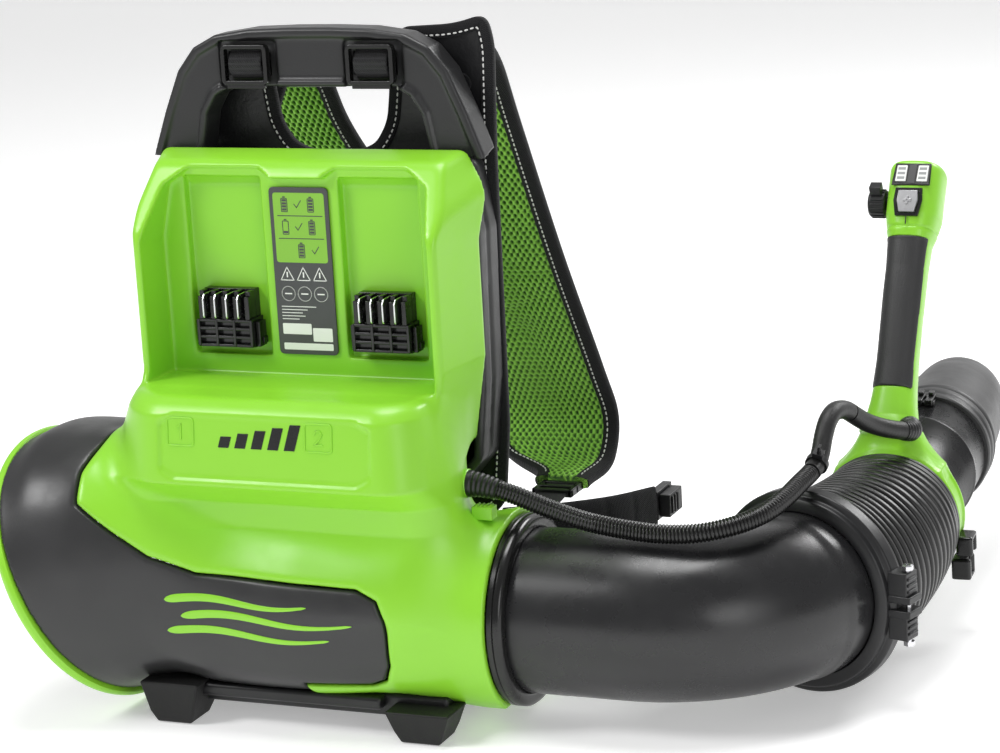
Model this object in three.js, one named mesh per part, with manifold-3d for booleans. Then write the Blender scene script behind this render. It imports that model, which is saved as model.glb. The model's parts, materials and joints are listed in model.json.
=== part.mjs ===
// Backpack leaf blower: battery tower, axial fan housing, elbow, flexible hose, control handle,
// nozzle and carrying harness. Millimetres, +Z up, +Y towards the wearer's front, +X to the right.
// Rest pose: the pack stands on its feet and the tube points forward.
import * as THREE from 'three';
import { mergeVertices } from 'three/addons/utils/BufferGeometryUtils.js';
import Module from 'manifold-3d';

const wasm = await Module();
wasm.setup();

// ---- driving dimensions (mm) ----
const GAP = 0.35;
const REST_Y = 120;                       // design-frame Y of the rear rest bar, the row origin
const WALL = 3.2;
const RIM_FRONT_Y = 29;
const TOWER_BACK_Y = 93;
const PLATE = { width: 48, height: 124, centreZ: 325.5 };
const BAY_BACK_Y = 66;
const SHELF_Z = 248;
const TRAY_BOTTOM_Z = 10;
const FRAME_FRONT_Y = TOWER_BACK_Y + 1.5;
const FRAME_BACK_Y = 130;
const PANEL_BACK_Y = 135;
const HANDLE_TOP_Z = 497;
const DUCT = { y: 60, z: 82, outer: 47, inner: 44.5 };
const OUTLET = { x: 151, y: 75, z: 78.5 };
const ELBOW = { outer: 60, inner: 57, straightX: 236, bend: 105, sweep: THREE.MathUtils.degToRad(76) };
const COLLAR_OUTER = 76;
const HOSE = { rear: 69, front: 56, wall: 4, ribs: 3 };
const TUBE = { outer: 45, inner: 42.5 };
const GRIP = { outer: 17, core: 12, length: 146, lean: THREE.MathUtils.degToRad(27.8) };
const INTAKE = { centre: [-180, 50, 104], across: 105, up: 106, tilt: 24, yaw: 5 };
const CORD_RADIUS = 7;

// ---- small geometry helpers ----
const V = (x, y, z) => new THREE.Vector3(x, y, z);
const vectors = (list) => list.map(([x, y, z]) => V(x, y, z));
const rad = THREE.MathUtils.degToRad;

function weld(geometry) {
  const bare = geometry.clone();
  bare.deleteAttribute('normal');
  bare.deleteAttribute('uv');
  const merged = mergeVertices(bare, 1e-3);
  const index = merged.index.array;
  const kept = [];
  for (let i = 0; i < index.length; i += 3) {
    const [a, b, c] = [index[i], index[i + 1], index[i + 2]];
    if (a !== b && b !== c && a !== c) kept.push(a, b, c);
  }
  merged.setIndex(kept);
  return merged;
}

function signedVolume(geometry) {
  const points = geometry.attributes.position;
  const index = geometry.index.array;
  const [a, b, c] = [V(0, 0, 0), V(0, 0, 0), V(0, 0, 0)];
  let sum = 0;
  for (let i = 0; i < index.length; i += 3) {
    a.fromBufferAttribute(points, index[i]);
    b.fromBufferAttribute(points, index[i + 1]);
    c.fromBufferAttribute(points, index[i + 2]);
    sum += a.dot(b.cross(c));
  }
  return sum;
}

function solid(geometry) {
  const merged = weld(geometry);
  const index = merged.index.array.slice();
  if (signedVolume(merged) < 0) {
    for (let i = 0; i < index.length; i += 3) {
      [index[i], index[i + 1]] = [index[i + 1], index[i]];
    }
  }
  return new wasm.Manifold(new wasm.Mesh({
    numProp: 3,
    vertProperties: new Float32Array(merged.attributes.position.array),
    triVerts: new Uint32Array(index),
  }));
}

function geometryOf(manifold) {
  const mesh = manifold.getMesh();
  const geometry = new THREE.BufferGeometry();
  geometry.setAttribute('position', new THREE.BufferAttribute(new Float32Array(mesh.vertProperties), 3));
  geometry.setIndex(Array.from(mesh.triVerts));
  return geometry;
}

const join = (...parts) => geometryOf(parts.map(solid).reduce((all, next) => all.add(next)));
const cut = (part, ...tools) => geometryOf(
  tools.map(solid).reduce((left, tool) => left.subtract(tool), solid(part)));
const overlap = (part, tool) => geometryOf(solid(part).intersect(solid(tool)));
const mirrorX = (geometry) => geometryOf(solid(geometry.clone().scale(-1, 1, 1)));

function box(x0, x1, y0, y1, z0, z1) {
  const geometry = new THREE.BoxGeometry(x1 - x0, y1 - y0, z1 - z0);
  return geometry.translate((x0 + x1) / 2, (y0 + y1) / 2, (z0 + z1) / 2);
}

function outline(points) {
  return new THREE.Shape(points.map(([u, v]) => new THREE.Vector2(u, v)));
}

function roundedRect(width, height, radius, steps = 3) {
  const points = [];
  const corners = [[1, 1, 0], [-1, 1, 90], [-1, -1, 180], [1, -1, 270]];
  for (const [sx, sy, start] of corners) {
    for (let i = 0; i <= steps; i++) {
      const a = rad(start + (90 * i) / steps);
      points.push([
        sx * (width / 2 - radius) + radius * Math.cos(a),
        sy * (height / 2 - radius) + radius * Math.sin(a),
      ]);
    }
  }
  return points;
}

function extrude(shape, depth) {
  return new THREE.ExtrudeGeometry(shape, { depth, bevelEnabled: false, steps: 1 });
}

// Outlines drawn in (y, z), (x, z) and (x, y), extruded along the remaining axis.
const toX = new THREE.Matrix4().makeBasis(V(0, 1, 0), V(0, 0, 1), V(1, 0, 0));
const prismX = (points, x0, x1) => extrude(outline(points), x1 - x0).applyMatrix4(toX).translate(x0, 0, 0);
const prismY = (points, y0, y1) => extrude(outline(points), y1 - y0)
  .rotateX(Math.PI / 2).translate(0, y1, 0);
const prismZ = (points, z0, z1) => extrude(outline(points), z1 - z0).translate(0, 0, z0);

// Solid of revolution; the profile lists (position along the axis, radius).
function revolve(profile, sides, closed = false) {
  const points = profile.map(([along, radius]) => new THREE.Vector2(radius, along));
  if (closed) points.push(points[0].clone());
  return new THREE.LatheGeometry(points, sides);
}
const revolveX = (profile, sides, closed) => revolve(profile, sides, closed).rotateZ(-Math.PI / 2);
const revolveZ = (profile, sides, closed) => revolve(profile, sides, closed).rotateX(Math.PI / 2);
const ringX = (x0, x1, inner, outer, sides = 28) => revolveX(
  [[x0, inner], [x0, outer], [x1, outer], [x1, inner]], sides, true);
const rodX = (x0, x1, radius, sides = 12) => revolveX(
  [[x0, 0], [x0, radius], [x1, radius], [x1, 0]], sides);
const rodY = (y0, y1, radius, sides = 12) => rodX(y0, y1, radius, sides).rotateZ(Math.PI / 2);

// Superellipse ring of points round a centre.
function ring(centre, across, up, halfAcross, halfUp, power, count) {
  const points = [];
  for (let i = 0; i < count; i++) {
    const a = (2 * Math.PI * i) / count;
    const [c, s] = [Math.cos(a), Math.sin(a)];
    const u = Math.sign(c) * Math.abs(c) ** (2 / power) * halfAcross;
    const v = Math.sign(s) * Math.abs(s) ** (2 / power) * halfUp;
    points.push(centre.clone().addScaledVector(across, u).addScaledVector(up, v));
  }
  return points;
}

// Surface through rings of equal count: capped at both ends, or closed on itself as a tube wall.
function skin(rings, closedLoop = false) {
  const count = rings[0].length;
  const positions = rings.flat().flatMap((p) => [p.x, p.y, p.z]);
  const index = [];
  const spans = closedLoop ? rings.length : rings.length - 1;
  for (let i = 0; i < spans; i++) {
    const [low, high] = [i * count, ((i + 1) % rings.length) * count];
    for (let j = 0; j < count; j++) {
      const k = (j + 1) % count;
      index.push(low + j, low + k, high + j, low + k, high + k, high + j);
    }
  }
  if (!closedLoop) {
    for (const [start, order] of [[0, -1], [(rings.length - 1) * count, 1]]) {
      const centre = V(0, 0, 0);
      rings[start / count].forEach((p) => centre.addScaledVector(p, 1 / count));
      const hub = positions.length / 3;
      positions.push(centre.x, centre.y, centre.z);
      for (let j = 0; j < count; j++) {
        const k = (j + 1) % count;
        if (order > 0) index.push(hub, start + j, start + k);
        else index.push(hub, start + k, start + j);
      }
    }
  }
  const geometry = new THREE.BufferGeometry();
  geometry.setAttribute('position', new THREE.Float32BufferAttribute(positions, 3));
  geometry.setIndex(index);
  return geometry;
}

// Rings along a curve, between two curve parameters, with a radius for each.
function ringsAlong(curve, stops, sides) {
  return stops.map(([t, radius]) => {
    const tangent = curve.getTangentAt(t);
    const across = new THREE.Vector3().crossVectors(tangent, V(0, 0, 1)).normalize();
    const up = new THREE.Vector3().crossVectors(across, tangent);
    return ring(curve.getPointAt(t), across, up, radius, radius, 2, sides);
  });
}
const pipe = (curve, outerStops, innerStops, sides) => skin(
  [...ringsAlong(curve, outerStops, sides), ...ringsAlong(curve, innerStops, sides).reverse()], true);

// Flat band whose width stays along X while its path runs in Y and Z.
function band(points, width, thickness, steps) {
  const curve = new THREE.CatmullRomCurve3(vectors(points));
  const rings = [];
  for (let i = 0; i <= steps; i++) {
    const tangent = curve.getTangentAt(i / steps);
    const normal = new THREE.Vector3().crossVectors(tangent, V(1, 0, 0)).normalize();
    const across = new THREE.Vector3().crossVectors(normal, tangent).normalize();
    rings.push(ring(curve.getPointAt(i / steps), across, normal, width / 2, thickness / 2, 6, 8));
  }
  return skin(rings);
}

const evenly = (count, make) => Array.from({ length: count + 1 }, (_, i) => make(i / count));

// ---- materials ----
function paint(colour, roughness, metalness = 0) {
  return new THREE.MeshStandardMaterial({ color: colour, roughness, metalness });
}
const green = paint(0x84cc33, 0.35);
const cowlGrey = paint(0x4a4a4c, 0.4);
const black = paint(0x1d1d1f, 0.45);
const rubber = paint(0x232325, 0.8);
const fabric = paint(0x1a1a1b, 0.9);
const mesh3d = paint(0x6fae2e, 0.9);
const steel = paint(0xb8babd, 0.3, 0.9);
const copper = paint(0xb06a3a, 0.4, 0.8);
const board = paint(0x1f5a37, 0.5);
const lens = paint(0xf2f2ee, 0.3);

const blower = new THREE.Group();
const pack = new THREE.Group();
pack.position.set(0, -REST_Y, 0);
blower.add(pack);

function add(parent, name, geometry, material) {
  const mesh = new THREE.Mesh(geometryOf(solid(geometry)), material);
  mesh.name = name;
  parent.add(mesh);
  return mesh;
}
const addPair = (name, geometry, material) => {
  add(pack, `${name}_right`, geometry, material);
  add(pack, `${name}_left`, mirrorX(geometry), material);
};

// ---- fan housing: a loft from the tilted intake to the round outlet ----
const HOUSING = [
  // x, y, z of the centre, half depth, half height, tilt, yaw, squareness
  [...INTAKE.centre, INTAKE.across, INTAKE.up, INTAKE.tilt, INTAKE.yaw, 2.1],
  [-148, 49, 113, 97, 101, 13, 3, 2.3],
  [-105, 47, 108, 78, 84, 6, 0, 2.6],
  [-60, 46, 88, 70, 66, 0, 0, 2.9],
  [20, 46.5, 80, 71.5, 56.5, 0, 0, 3],
  [95, 53, 80, 66, 56.5, 0, 0, 2.8],
  [132, 70, 79, 72, 70, 0, 0, 2.2],
  [OUTLET.x, OUTLET.y, OUTLET.z, 74, 74, 0, 0, 2],
];

function housingLoft(grow, extend) {
  const last = HOUSING.length - 1;
  return skin(HOUSING.map(([x, y, z, deep, high, tilt, yaw, power], i) => {
    const across = V(Math.sin(rad(yaw)), Math.cos(rad(yaw)), 0);
    const up = V(0, 0, 1).applyAxisAngle(V(0, 1, 0), -rad(tilt)).applyAxisAngle(V(0, 0, 1), -rad(yaw));
    const normal = new THREE.Vector3().crossVectors(across, up);
    const push = i === 0 ? -extend : i === last ? extend : 0;
    const centre = V(x, y, z).addScaledVector(normal, push);
    return ring(centre, across, up, deep + grow, high + grow, power, 24);
  }));
}

function noseLoft(shrink) {
  const levels = [
    // z, half width, front y
    [96, 112, -14], [150, 116, -4], [172, 112, -9], [186, 113, -21], [226, 110, -18], [243, 107, -12],
  ];
  const top = [SHELF_Z, 104, -7];
  const rings = [...levels, top].map(([z, half, front], i) => {
    const middle = (front + TOWER_BACK_Y) / 2;
    const depth = (TOWER_BACK_Y - front) / 2;
    const drop = i === levels.length ? shrink : 0;
    return ring(V(0, middle, z - drop), V(1, 0, 0), V(0, 1, 0), half - shrink, depth - shrink, 7, 24);
  });
  return skin(rings);
}

// The shell swells out beside the nose, towards the intake.
function shoulderLoft(shrink) {
  const levels = [[100, 149], [190, 146], [226, 132], [246, 121]];
  return skin(levels.map(([z, left]) => {
    const right = 108;
    const centre = V((right - left) / 2, 34, z - (z > 240 ? shrink : 0));
    return ring(centre, V(1, 0, 0), V(0, 1, 0), (left + right) / 2 - shrink, 42 - shrink, 3.5, 24);
  }));
}

function towerLoft(inset, y0, y1) {
  const sides = (low, wide, corner, cornerZ, topZ) => {
    const right = [[low, 236], [wide, 366 - inset], [wide + cornerZ, 366 - inset], [corner, topZ - inset]];
    return right.map(([x, z]) => [x - inset, z]);
  };
  const section = (y, right) => [
    ...right.map(([x, z]) => V(x, y, z)),
    ...right.slice().reverse().map(([x, z]) => V(-x, y, z)),
  ];
  const front = section(y0, sides(116, 119.5, 104, 0.5, 397));
  const back = section(y1, sides(122, 127, 121, 7, 411));
  return skin([front, back]);
}

const bayOpening = [
  [113, SHELF_Z], [113, 350], [104, 389], [86, 401], [31, 401], [21, 394],
  [-21, 394], [-31, 401], [-86, 401], [-104, 389], [-113, 350], [-113, SHELF_Z],
];
const channels = [-62, 62].map((x) => box(x - 31, x + 31, BAY_BACK_Y - 8, BAY_BACK_Y + 5, 260, 394));
const housingOuter = housingLoft(0, 0);
const housingInner = housingLoft(-WALL, 6);
const rimChamfer = prismX([[20, 344], [75, 417.3], [75, 450], [20, 450]], -150, 150);
const shellOuter = cut(
  join(housingOuter, noseLoft(0), shoulderLoft(0), towerLoft(0, RIM_FRONT_Y, TOWER_BACK_Y)),
  rimChamfer,
);
const shellHollow = cut(
  join(
    housingInner,
    noseLoft(WALL),
    shoulderLoft(WALL),
    overlap(towerLoft(5, BAY_BACK_Y + 9, TOWER_BACK_Y + 6), box(-200, 200, 0, 200, 240, 420)),
  ),
  box(-200, 200, -60, BAY_BACK_Y + 8.5, SHELF_Z - WALL, 500),
);
const shell = cut(shellOuter, shellHollow, prismY(bayOpening, -60, BAY_BACK_Y), ...channels);

// The dark cowl takes the lower left of the shell, seen from the front.
const cowlOutline = [
  [-330, 330], [-150, 330], [-150, 206], [-154, 188], [-151, 169], [-123, 148], [-98, 131], [-62, 119],
  [22, 115],
  [62, 113], [77, 106], [83, 92], [83, 58], [78, 46], [66, 41], [15, 40], [15, -60], [-330, -60],
];
const seam = outline(cowlOutline);
const cowlSide = extrude(seam, 500).rotateX(Math.PI / 2).translate(0, 300, 0);
const biggest = (geometry) => geometryOf(
  solid(geometry).decompose().sort((a, b) => b.volume() - a.volume())[0]);
const cableGlandHole = rodX(90, 130, 8.2, 16).translate(0, 60, 175);
add(pack, 'housing_shell', biggest(cut(shell, cowlSide, cableGlandHole)), green);
const shifts = [[GAP, 0], [-GAP, 0], [0, GAP], [0, -GAP]];
const cowl = shifts.reduce((part, [dx, dz]) => overlap(part, cowlSide.clone().translate(dx, 0, dz)), shell);
add(pack, 'intake_cowl', biggest(cowl), cowlGrey);

// ---- intake: rim and grille lie in the tilted intake plane (local Z points outwards) ----
const intake = new THREE.Group();
intake.position.set(...INTAKE.centre);
intake.rotation.set(0, 0, -rad(INTAKE.yaw));
const intakePlane = new THREE.Group();
intakePlane.rotation.set(0, -rad(90 + INTAKE.tilt), 0);
pack.add(intake);
intake.add(intakePlane);
const ellipse = (up, across, z0, z1, sides = 28) => prismZ(
  ring(V(0, 0, 0), V(1, 0, 0), V(0, 1, 0), up, across, 2, sides).map((p) => [p.x, p.y]), z0, z1);
const rimSolid = cut(
  ellipse(INTAKE.up + 1, INTAKE.across + 1, GAP, 9),
  ellipse(INTAKE.up - 6, INTAKE.across - 6, -5, 20),
);
add(intakePlane, 'intake_rim', rimSolid, green);
const grilleRings = [42, 70].map(
  (r) => cut(ellipse(r + 2, r + 2, 1, 5, 18), ellipse(r - 2, r - 2, 0, 6, 18)));
const spokes = evenly(4, (t) => box(-98.5, 98.5, -1.5, 1.5, 1, 4.4).rotateZ(Math.PI * t)).slice(0, 4);
const grilleEdge = cut(ellipse(99.4, 98.4, 1, 6), ellipse(95, 94, 0, 7));
const grilleHub = ellipse(12, 12, 1, 6, 12);
const grilleTrim = ellipse(99.4, 98.4, 0.5, 7);
const grille = overlap(join(...grilleRings, ...spokes, grilleHub, grilleEdge), grilleTrim);
add(intakePlane, 'intake_grille', grille, black);

// ---- fan module on the duct axis ----
const fan = new THREE.Group();
fan.position.set(0, DUCT.y, DUCT.z);
pack.add(fan);
const ductWall = revolveX([
  [-96, 50.5], [-93, 50.5], [-84, 47], [-76, DUCT.inner], [94, DUCT.inner], [94, DUCT.outer],
  [-77, DUCT.outer], [-96, 53],
], 24, true);
const vanes = evenly(5, (t) => box(14, 58, -1, 1, 25, DUCT.inner + 1).rotateX(2 * Math.PI * t)).slice(0, 5);
const endPlates = [12, 55].map((x) => ringX(x, x + 5, 8.6, 25, 24));
add(fan, 'fan_duct', join(ductWall, ringX(8, 66, 23.5, 26.5, 24), ...endPlates, ...vanes), black);
add(fan, 'motor_stator', ringX(22, 50, 14, 23.1, 24), copper);
add(fan, 'motor_bearing_front', ringX(12, 17, 4.2, 8.2, 20), steel);
add(fan, 'motor_bearing_rear', ringX(55, 60, 4.2, 8.2, 20), steel);
add(fan, 'rotor_shaft', join(rodX(-44, 64, 3.7, 16), rodX(23, 49, 13.2, 24)), steel);
const blades = evenly(7, (t) => box(-1.2, 1.2, -13, 13, 17, 42).rotateZ(rad(38)).translate(-20, 0, 0)
  .rotateX(2 * Math.PI * t)).slice(0, 7);
const fanHub = ringX(-36, 4, 4.1, 20, 30);
const spinnerProfile = [[-66, 0], [-60, 9], [-48, 16.5], [-35, 20], [-35, 0]];
const spinner = cut(revolveX(spinnerProfile, 30), rodX(-46, -30, 4.1));
add(fan, 'fan_rotor', join(fanHub, spinner, ...blades), black);
const tailProfile = [[66.5, 0], [66.5, 26], [84, 21], [104, 8], [108, 0]];
const tailCone = cut(revolveX(tailProfile, 30), rodX(60, 72, 20, 24));
add(fan, 'tail_cone', tailCone, black);

// ---- base tray, feet and rear rest bar ----
const housingClear = housingLoft(GAP, 0.4);
const trayBlank = join(
  box(-104, 122, -8, 124, TRAY_BOTTOM_Z, 27),
  box(-116, -74, -15, 16, TRAY_BOTTOM_Z, 25),
  box(80, 124, -13, 16, TRAY_BOTTOM_Z, 25),
);
const footTop = TRAY_BOTTOM_Z + 0.5;
const foot = (x0, x1, y0, y1) => skin([
  [V(x0 + 5, y0 + 4, 0), V(x1 - 5, y0 + 4, 0), V(x1 - 5, y1 - 4, 0), V(x0 + 5, y1 - 4, 0)],
  [V(x0, y0, footTop), V(x1, y0, footTop), V(x1, y1, footTop), V(x0, y1, footTop)],
]);
const feet = [
  foot(-114, -76, -14, 22), foot(82, 122, -12, 22), foot(-103, -70, 92, 123), foot(78, 118, 92, 123),
];
add(pack, 'base_tray', biggest(cut(join(trayBlank, ...feet), housingClear, housingInner)), black);
const restBar = foot(-52, 52, REST_Y - 13, REST_Y + 13).scale(1, 1, (TRAY_BOTTOM_Z - GAP) / footTop);
add(pack, 'rear_rest_bar', restBar, rubber);

// ---- battery terminals, plate and electronics in the tower ----
function terminalBlock(x) {
  const y1 = BAY_BACK_Y + 5 - GAP;
  const body = join(
    box(x - 23, x + 23, 56, y1, 270, 288),
    box(x - 28, x + 28, 60, y1, 269, 292),
    box(x - 24, x + 24, 64, y1, 288, 318),
  );
  const cells = [];
  for (const column of [-13.5, 0, 13.5]) {
    for (const z of [273.5, 279, 284.5]) {
      cells.push(box(x + column - 5.6, x + column + 5.6, 50, 59, z - 1.5, z + 1.5));
    }
  }
  return cut(body, ...cells);
}
function terminalBlades(x) {
  const back = box(x - 21, x + 21, 62.4, 64 - GAP, 293, 315);
  const fins = evenly(3, (t) => box(x - 21 + 39 * t, x - 18.4 + 39 * t, 50, 63, 292.4, 316));
  return join(back, ...fins);
}
[-63, 63].forEach((x, i) => {
  add(pack, `terminal_block_${i + 1}`, terminalBlock(x), black);
  add(pack, `terminal_blades_${i + 1}`, terminalBlades(x), steel);
});
const plateOutline = roundedRect(PLATE.width, PLATE.height, 5).map(([x, z]) => [x, z + PLATE.centreZ]);
const plate = prismY(plateOutline, BAY_BACK_Y - 2, BAY_BACK_Y - GAP);
add(pack, 'guide_plate', plate, cowlGrey);
const heatSink = [
  box(-38, 38, 83.8, 87, 270, 330),
  ...evenly(6, (t) => box(-37 + 72 * t, -35 + 72 * t, 86, 91.5, 270, 330)),
];
add(pack, 'control_board', join(box(-90, 90, 82, 84, 262, 376), ...heatSink), board);

// ---- back frame, carry handle and buckles ----
const upperFrame = [[88, 148], [118, 182], [124, 240], [126, 350], [118, 404]];
const bothSides = (right) => [...right, ...right.slice().reverse().map(([x, z]) => [-x, z])];
const inset = (right, d) => right.map(([x, z], i) => {
  if (i === 0) return [x - d, z + d];
  return [x - d, i === right.length - 1 ? z - d : z];
});
const frameShell = cut(
  prismY(bothSides(upperFrame), FRAME_FRONT_Y, FRAME_BACK_Y),
  prismY(bothSides(inset(upperFrame, 4)), FRAME_FRONT_Y + 4, FRAME_BACK_Y + 5),
);
const frameRibs = [-60, 0, 60].map((x) => box(x - 1.5, x + 1.5, FRAME_FRONT_Y + 2, FRAME_BACK_Y, 152, 402));
const frameTongue = box(-66, 84, FRAME_BACK_Y - 5, FRAME_BACK_Y, 34, 156);
add(pack, 'back_frame', cut(join(frameShell, ...frameRibs, frameTongue), housingClear), black);
const archOuter = [
  [133, 404.5], [121, 436], [108, 466], [94, 483], [76, 492], [48, 496], [0, HANDLE_TOP_Z],
];
const archInner = [[92, 403], [86, 434], [78, 447], [66, 454]];
const arch = cut(
  prismY([...archOuter, ...archOuter.slice(0, -1).reverse().map(([x, z]) => [-x, z])], 96, 123),
  prismY(bothSides(archInner), 90, 130),
  box(-67, -33, 90, 130, 462, 480), box(33, 67, 90, 130, 462, 480),
);
add(pack, 'carry_handle', arch, black);
const lockFrame = cut(
  prismY(roundedRect(38, 28, 4).map(([x, z]) => [x + 50, z + 471]), 91.5, 96 - GAP),
  box(37, 63, 80, 100, 463, 467), box(37, 63, 80, 100, 473.5, 479.5),
);
const lifter = box(37.5, 62.5, 92.5, 142, 471.5, 474.5);
addPair('ladder_lock', join(lockFrame, lifter), black);

// ---- harness: stiff panel, pad, shoulder straps, tails, waist belt ----
const panelRight = [
  [0, 128], [104, 128], [118, 140], [122, 200], [122, 470], [116, 488], [104, 495], [76, 495], [68, 486],
  [72, 455], [66, 428], [48, 410], [24, 402], [0, 400],
];
const panelOutline = [...panelRight, ...panelRight.slice(1, -1).reverse().map(([x, z]) => [-x, z])];
add(pack, 'harness_panel', prismY(panelOutline, FRAME_BACK_Y + GAP, PANEL_BACK_Y), fabric);
const padOutline = roundedRect(196, 262, 34, 4).map(([x, z]) => [x, z + 265]);
add(pack, 'back_pad', prismY(padOutline, PANEL_BACK_Y + GAP, 151), mesh3d);
const strapPath = [
  [76, 143, 424], [75, 145, 462], [73, 166, 490], [72, 196, 497], [72, 224, 478], [72, 246, 404],
  [74, 306, 291], [79, 366, 188], [83, 386, 140], [84, 368, 108], [84, 330, 99],
];
const tailPath = [[84, 338, 99], [85, 322, 98], [88, 260, 94], [92, 200, 90], [94, 137, 88]];
addPair('shoulder_strap', join(band(strapPath, 62, 12, 18), band(tailPath, 25, 2.4, 8)), mesh3d);
function beltWing(side) {
  const route = [[112, 142, 106], [142, 168, 106], [172, 210, 105], [190, 256, 104]];
  const shift = side < 0 ? 18 : 0;
  const curve = new THREE.CatmullRomCurve3(vectors(route.map(([x, y, z]) => [side * x, y + shift, z])));
  return skin(evenly(8, (t) => {
    const tangent = curve.getTangentAt(t);
    const normal = new THREE.Vector3().crossVectors(tangent, V(0, 0, 1)).normalize();
    return ring(curve.getPointAt(t), normal, V(0, 0, 1), 5.5, 27 - 9 * t, 5, 12);
  }));
}
add(pack, 'waist_belt_right', beltWing(1), fabric);
add(pack, 'waist_belt_left', beltWing(-1), fabric);
add(pack, 'buckle_socket', join(box(182, 200, 261, 286, 92, 116), box(184, 198, 285, 296, 95, 113)), black);
const tongue = join(box(-200, -182, 279, 299, 92, 116), box(-196, -186, 298, 318, 96, 112));
add(pack, 'buckle_tongue', tongue, black);

// ---- outlet and elbow ----
const outletRing = ringX(OUTLET.x + GAP, 163, 60.4, 69.7, 32).translate(0, OUTLET.y, OUTLET.z);
add(pack, 'outlet_ring', outletRing, black);
add(pack, 'outlet_seal', ringX(141, 146, 60.4, 65, 28).translate(0, OUTLET.y, OUTLET.z), rubber);
const arcCentre = V(ELBOW.straightX, OUTLET.y + ELBOW.bend, OUTLET.z);
class ElbowCurve extends THREE.Curve {
  getPoint(t, target = V(0, 0, 0)) {
    const straight = ELBOW.straightX - 140;
    const travelled = t * (straight + ELBOW.bend * ELBOW.sweep);
    if (travelled < straight) return target.set(140 + travelled, OUTLET.y, OUTLET.z);
    const a = (travelled - straight) / ELBOW.bend;
    const x = arcCentre.x + ELBOW.bend * Math.sin(a);
    return target.set(x, arcCentre.y - ELBOW.bend * Math.cos(a), OUTLET.z);
  }
}
const elbowCurve = new ElbowCurve();
const elbowStops = [0, 0.4, 0.52, 0.64, 0.76, 0.88, 1];
const elbow = pipe(
  elbowCurve, elbowStops.map((t) => [t, ELBOW.outer]), elbowStops.map((t) => [t, ELBOW.inner]), 24);
add(pack, 'elbow', elbow, black);
const releaseX = 136;
const releaseOutline = roundedRect(17, 12, 4).map(([x, y]) => [x + releaseX, y + 52]);
add(pack, 'release_button', prismZ(releaseOutline, 152.5, 163), green);
const gland = cut(
  revolveX([[92, 0], [92, 7.8], [116, 7.8], [117, 10.5], [121, 10.5], [123, 8.6], [123, 0]], 20),
  rodX(119, 130, CORD_RADIUS + 0.8),
).translate(0, 60, 175);
add(pack, 'cord_gland', gland, green);

// ---- hose: rear clamp, two bellows halves with one free convolution between, front cuff ----
const elbowEnd = elbowCurve.getPoint(1);
const elbowAim = V(Math.cos(ELBOW.sweep), Math.sin(ELBOW.sweep), 0);
const ringCentre = V(361, 316, 92);
const tubeYaw = rad(3.1);
const tubePitch = rad(4.1);
const tubeAim = V(0, 1, 0).applyAxisAngle(V(1, 0, 0), tubePitch).applyAxisAngle(V(0, 0, 1), tubeYaw);

const clampGroup = new THREE.Group();
clampGroup.position.copy(elbowEnd);
clampGroup.rotation.set(0, 0, ELBOW.sweep);
pack.add(clampGroup);
const clampRing = revolveX([
  [-4, 61], [-4, COLLAR_OUTER], [18, COLLAR_OUTER], [22, 72], [22, 61],
], 32, true);
const clampEars = [box(0, 17, -87, -64, 3, 26), box(0, 17, -87, -64, -26, -3)];
const screwHole = revolveZ([[-40, 0], [-40, 2.4], [40, 2.4], [40, 0]], 12).translate(8.5, -82, 0);
add(clampGroup, 'hose_collar', cut(join(clampRing, ...clampEars), screwHole), black);
const screw = revolveZ([[-24, 0], [-24, 1.9], [26.4, 1.9], [26.4, 4], [29.4, 4], [29.4, 0]], 12);
add(clampGroup, 'collar_clamp_screw', screw.translate(8.5, -82, 0), steel);

const hoseStart = elbowEnd.clone().addScaledVector(elbowAim, 22 + GAP);
const hoseEnd = ringCentre.clone().addScaledVector(tubeAim, -26);
const hoseCurve = new THREE.CubicBezierCurve3(
  hoseStart, hoseStart.clone().addScaledVector(elbowAim, 38),
  hoseEnd.clone().addScaledVector(tubeAim, -38), hoseEnd);
const hoseRadius = (t) => THREE.MathUtils.lerp(HOSE.rear, HOSE.front, t);
function bellows(t0, t1) {
  const outerStops = [];
  const innerStops = [];
  for (let i = 0; i <= 2 * HOSE.ribs; i++) {
    const t = THREE.MathUtils.lerp(t0, t1, i / (2 * HOSE.ribs));
    const depth = i % 2 ? 3.5 : 0;
    outerStops.push([t, hoseRadius(t) - depth]);
    innerStops.push([t, hoseRadius(t) - HOSE.wall - depth]);
  }
  return pipe(hoseCurve, outerStops, innerStops, 20);
}
add(pack, 'bellows_rear', bellows(0, 0.47), rubber);
add(pack, 'bellows_middle', pipe(
  hoseCurve,
  [[0.475, hoseRadius(0.475) - 1], [0.5, hoseRadius(0.5) + 1], [0.525, hoseRadius(0.525) - 1]],
  [[0.475, hoseRadius(0.475) - 6], [0.5, hoseRadius(0.5) - 6], [0.525, hoseRadius(0.525) - 6]], 20), rubber);
add(pack, 'bellows_front', bellows(0.53, 1), rubber);

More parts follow.
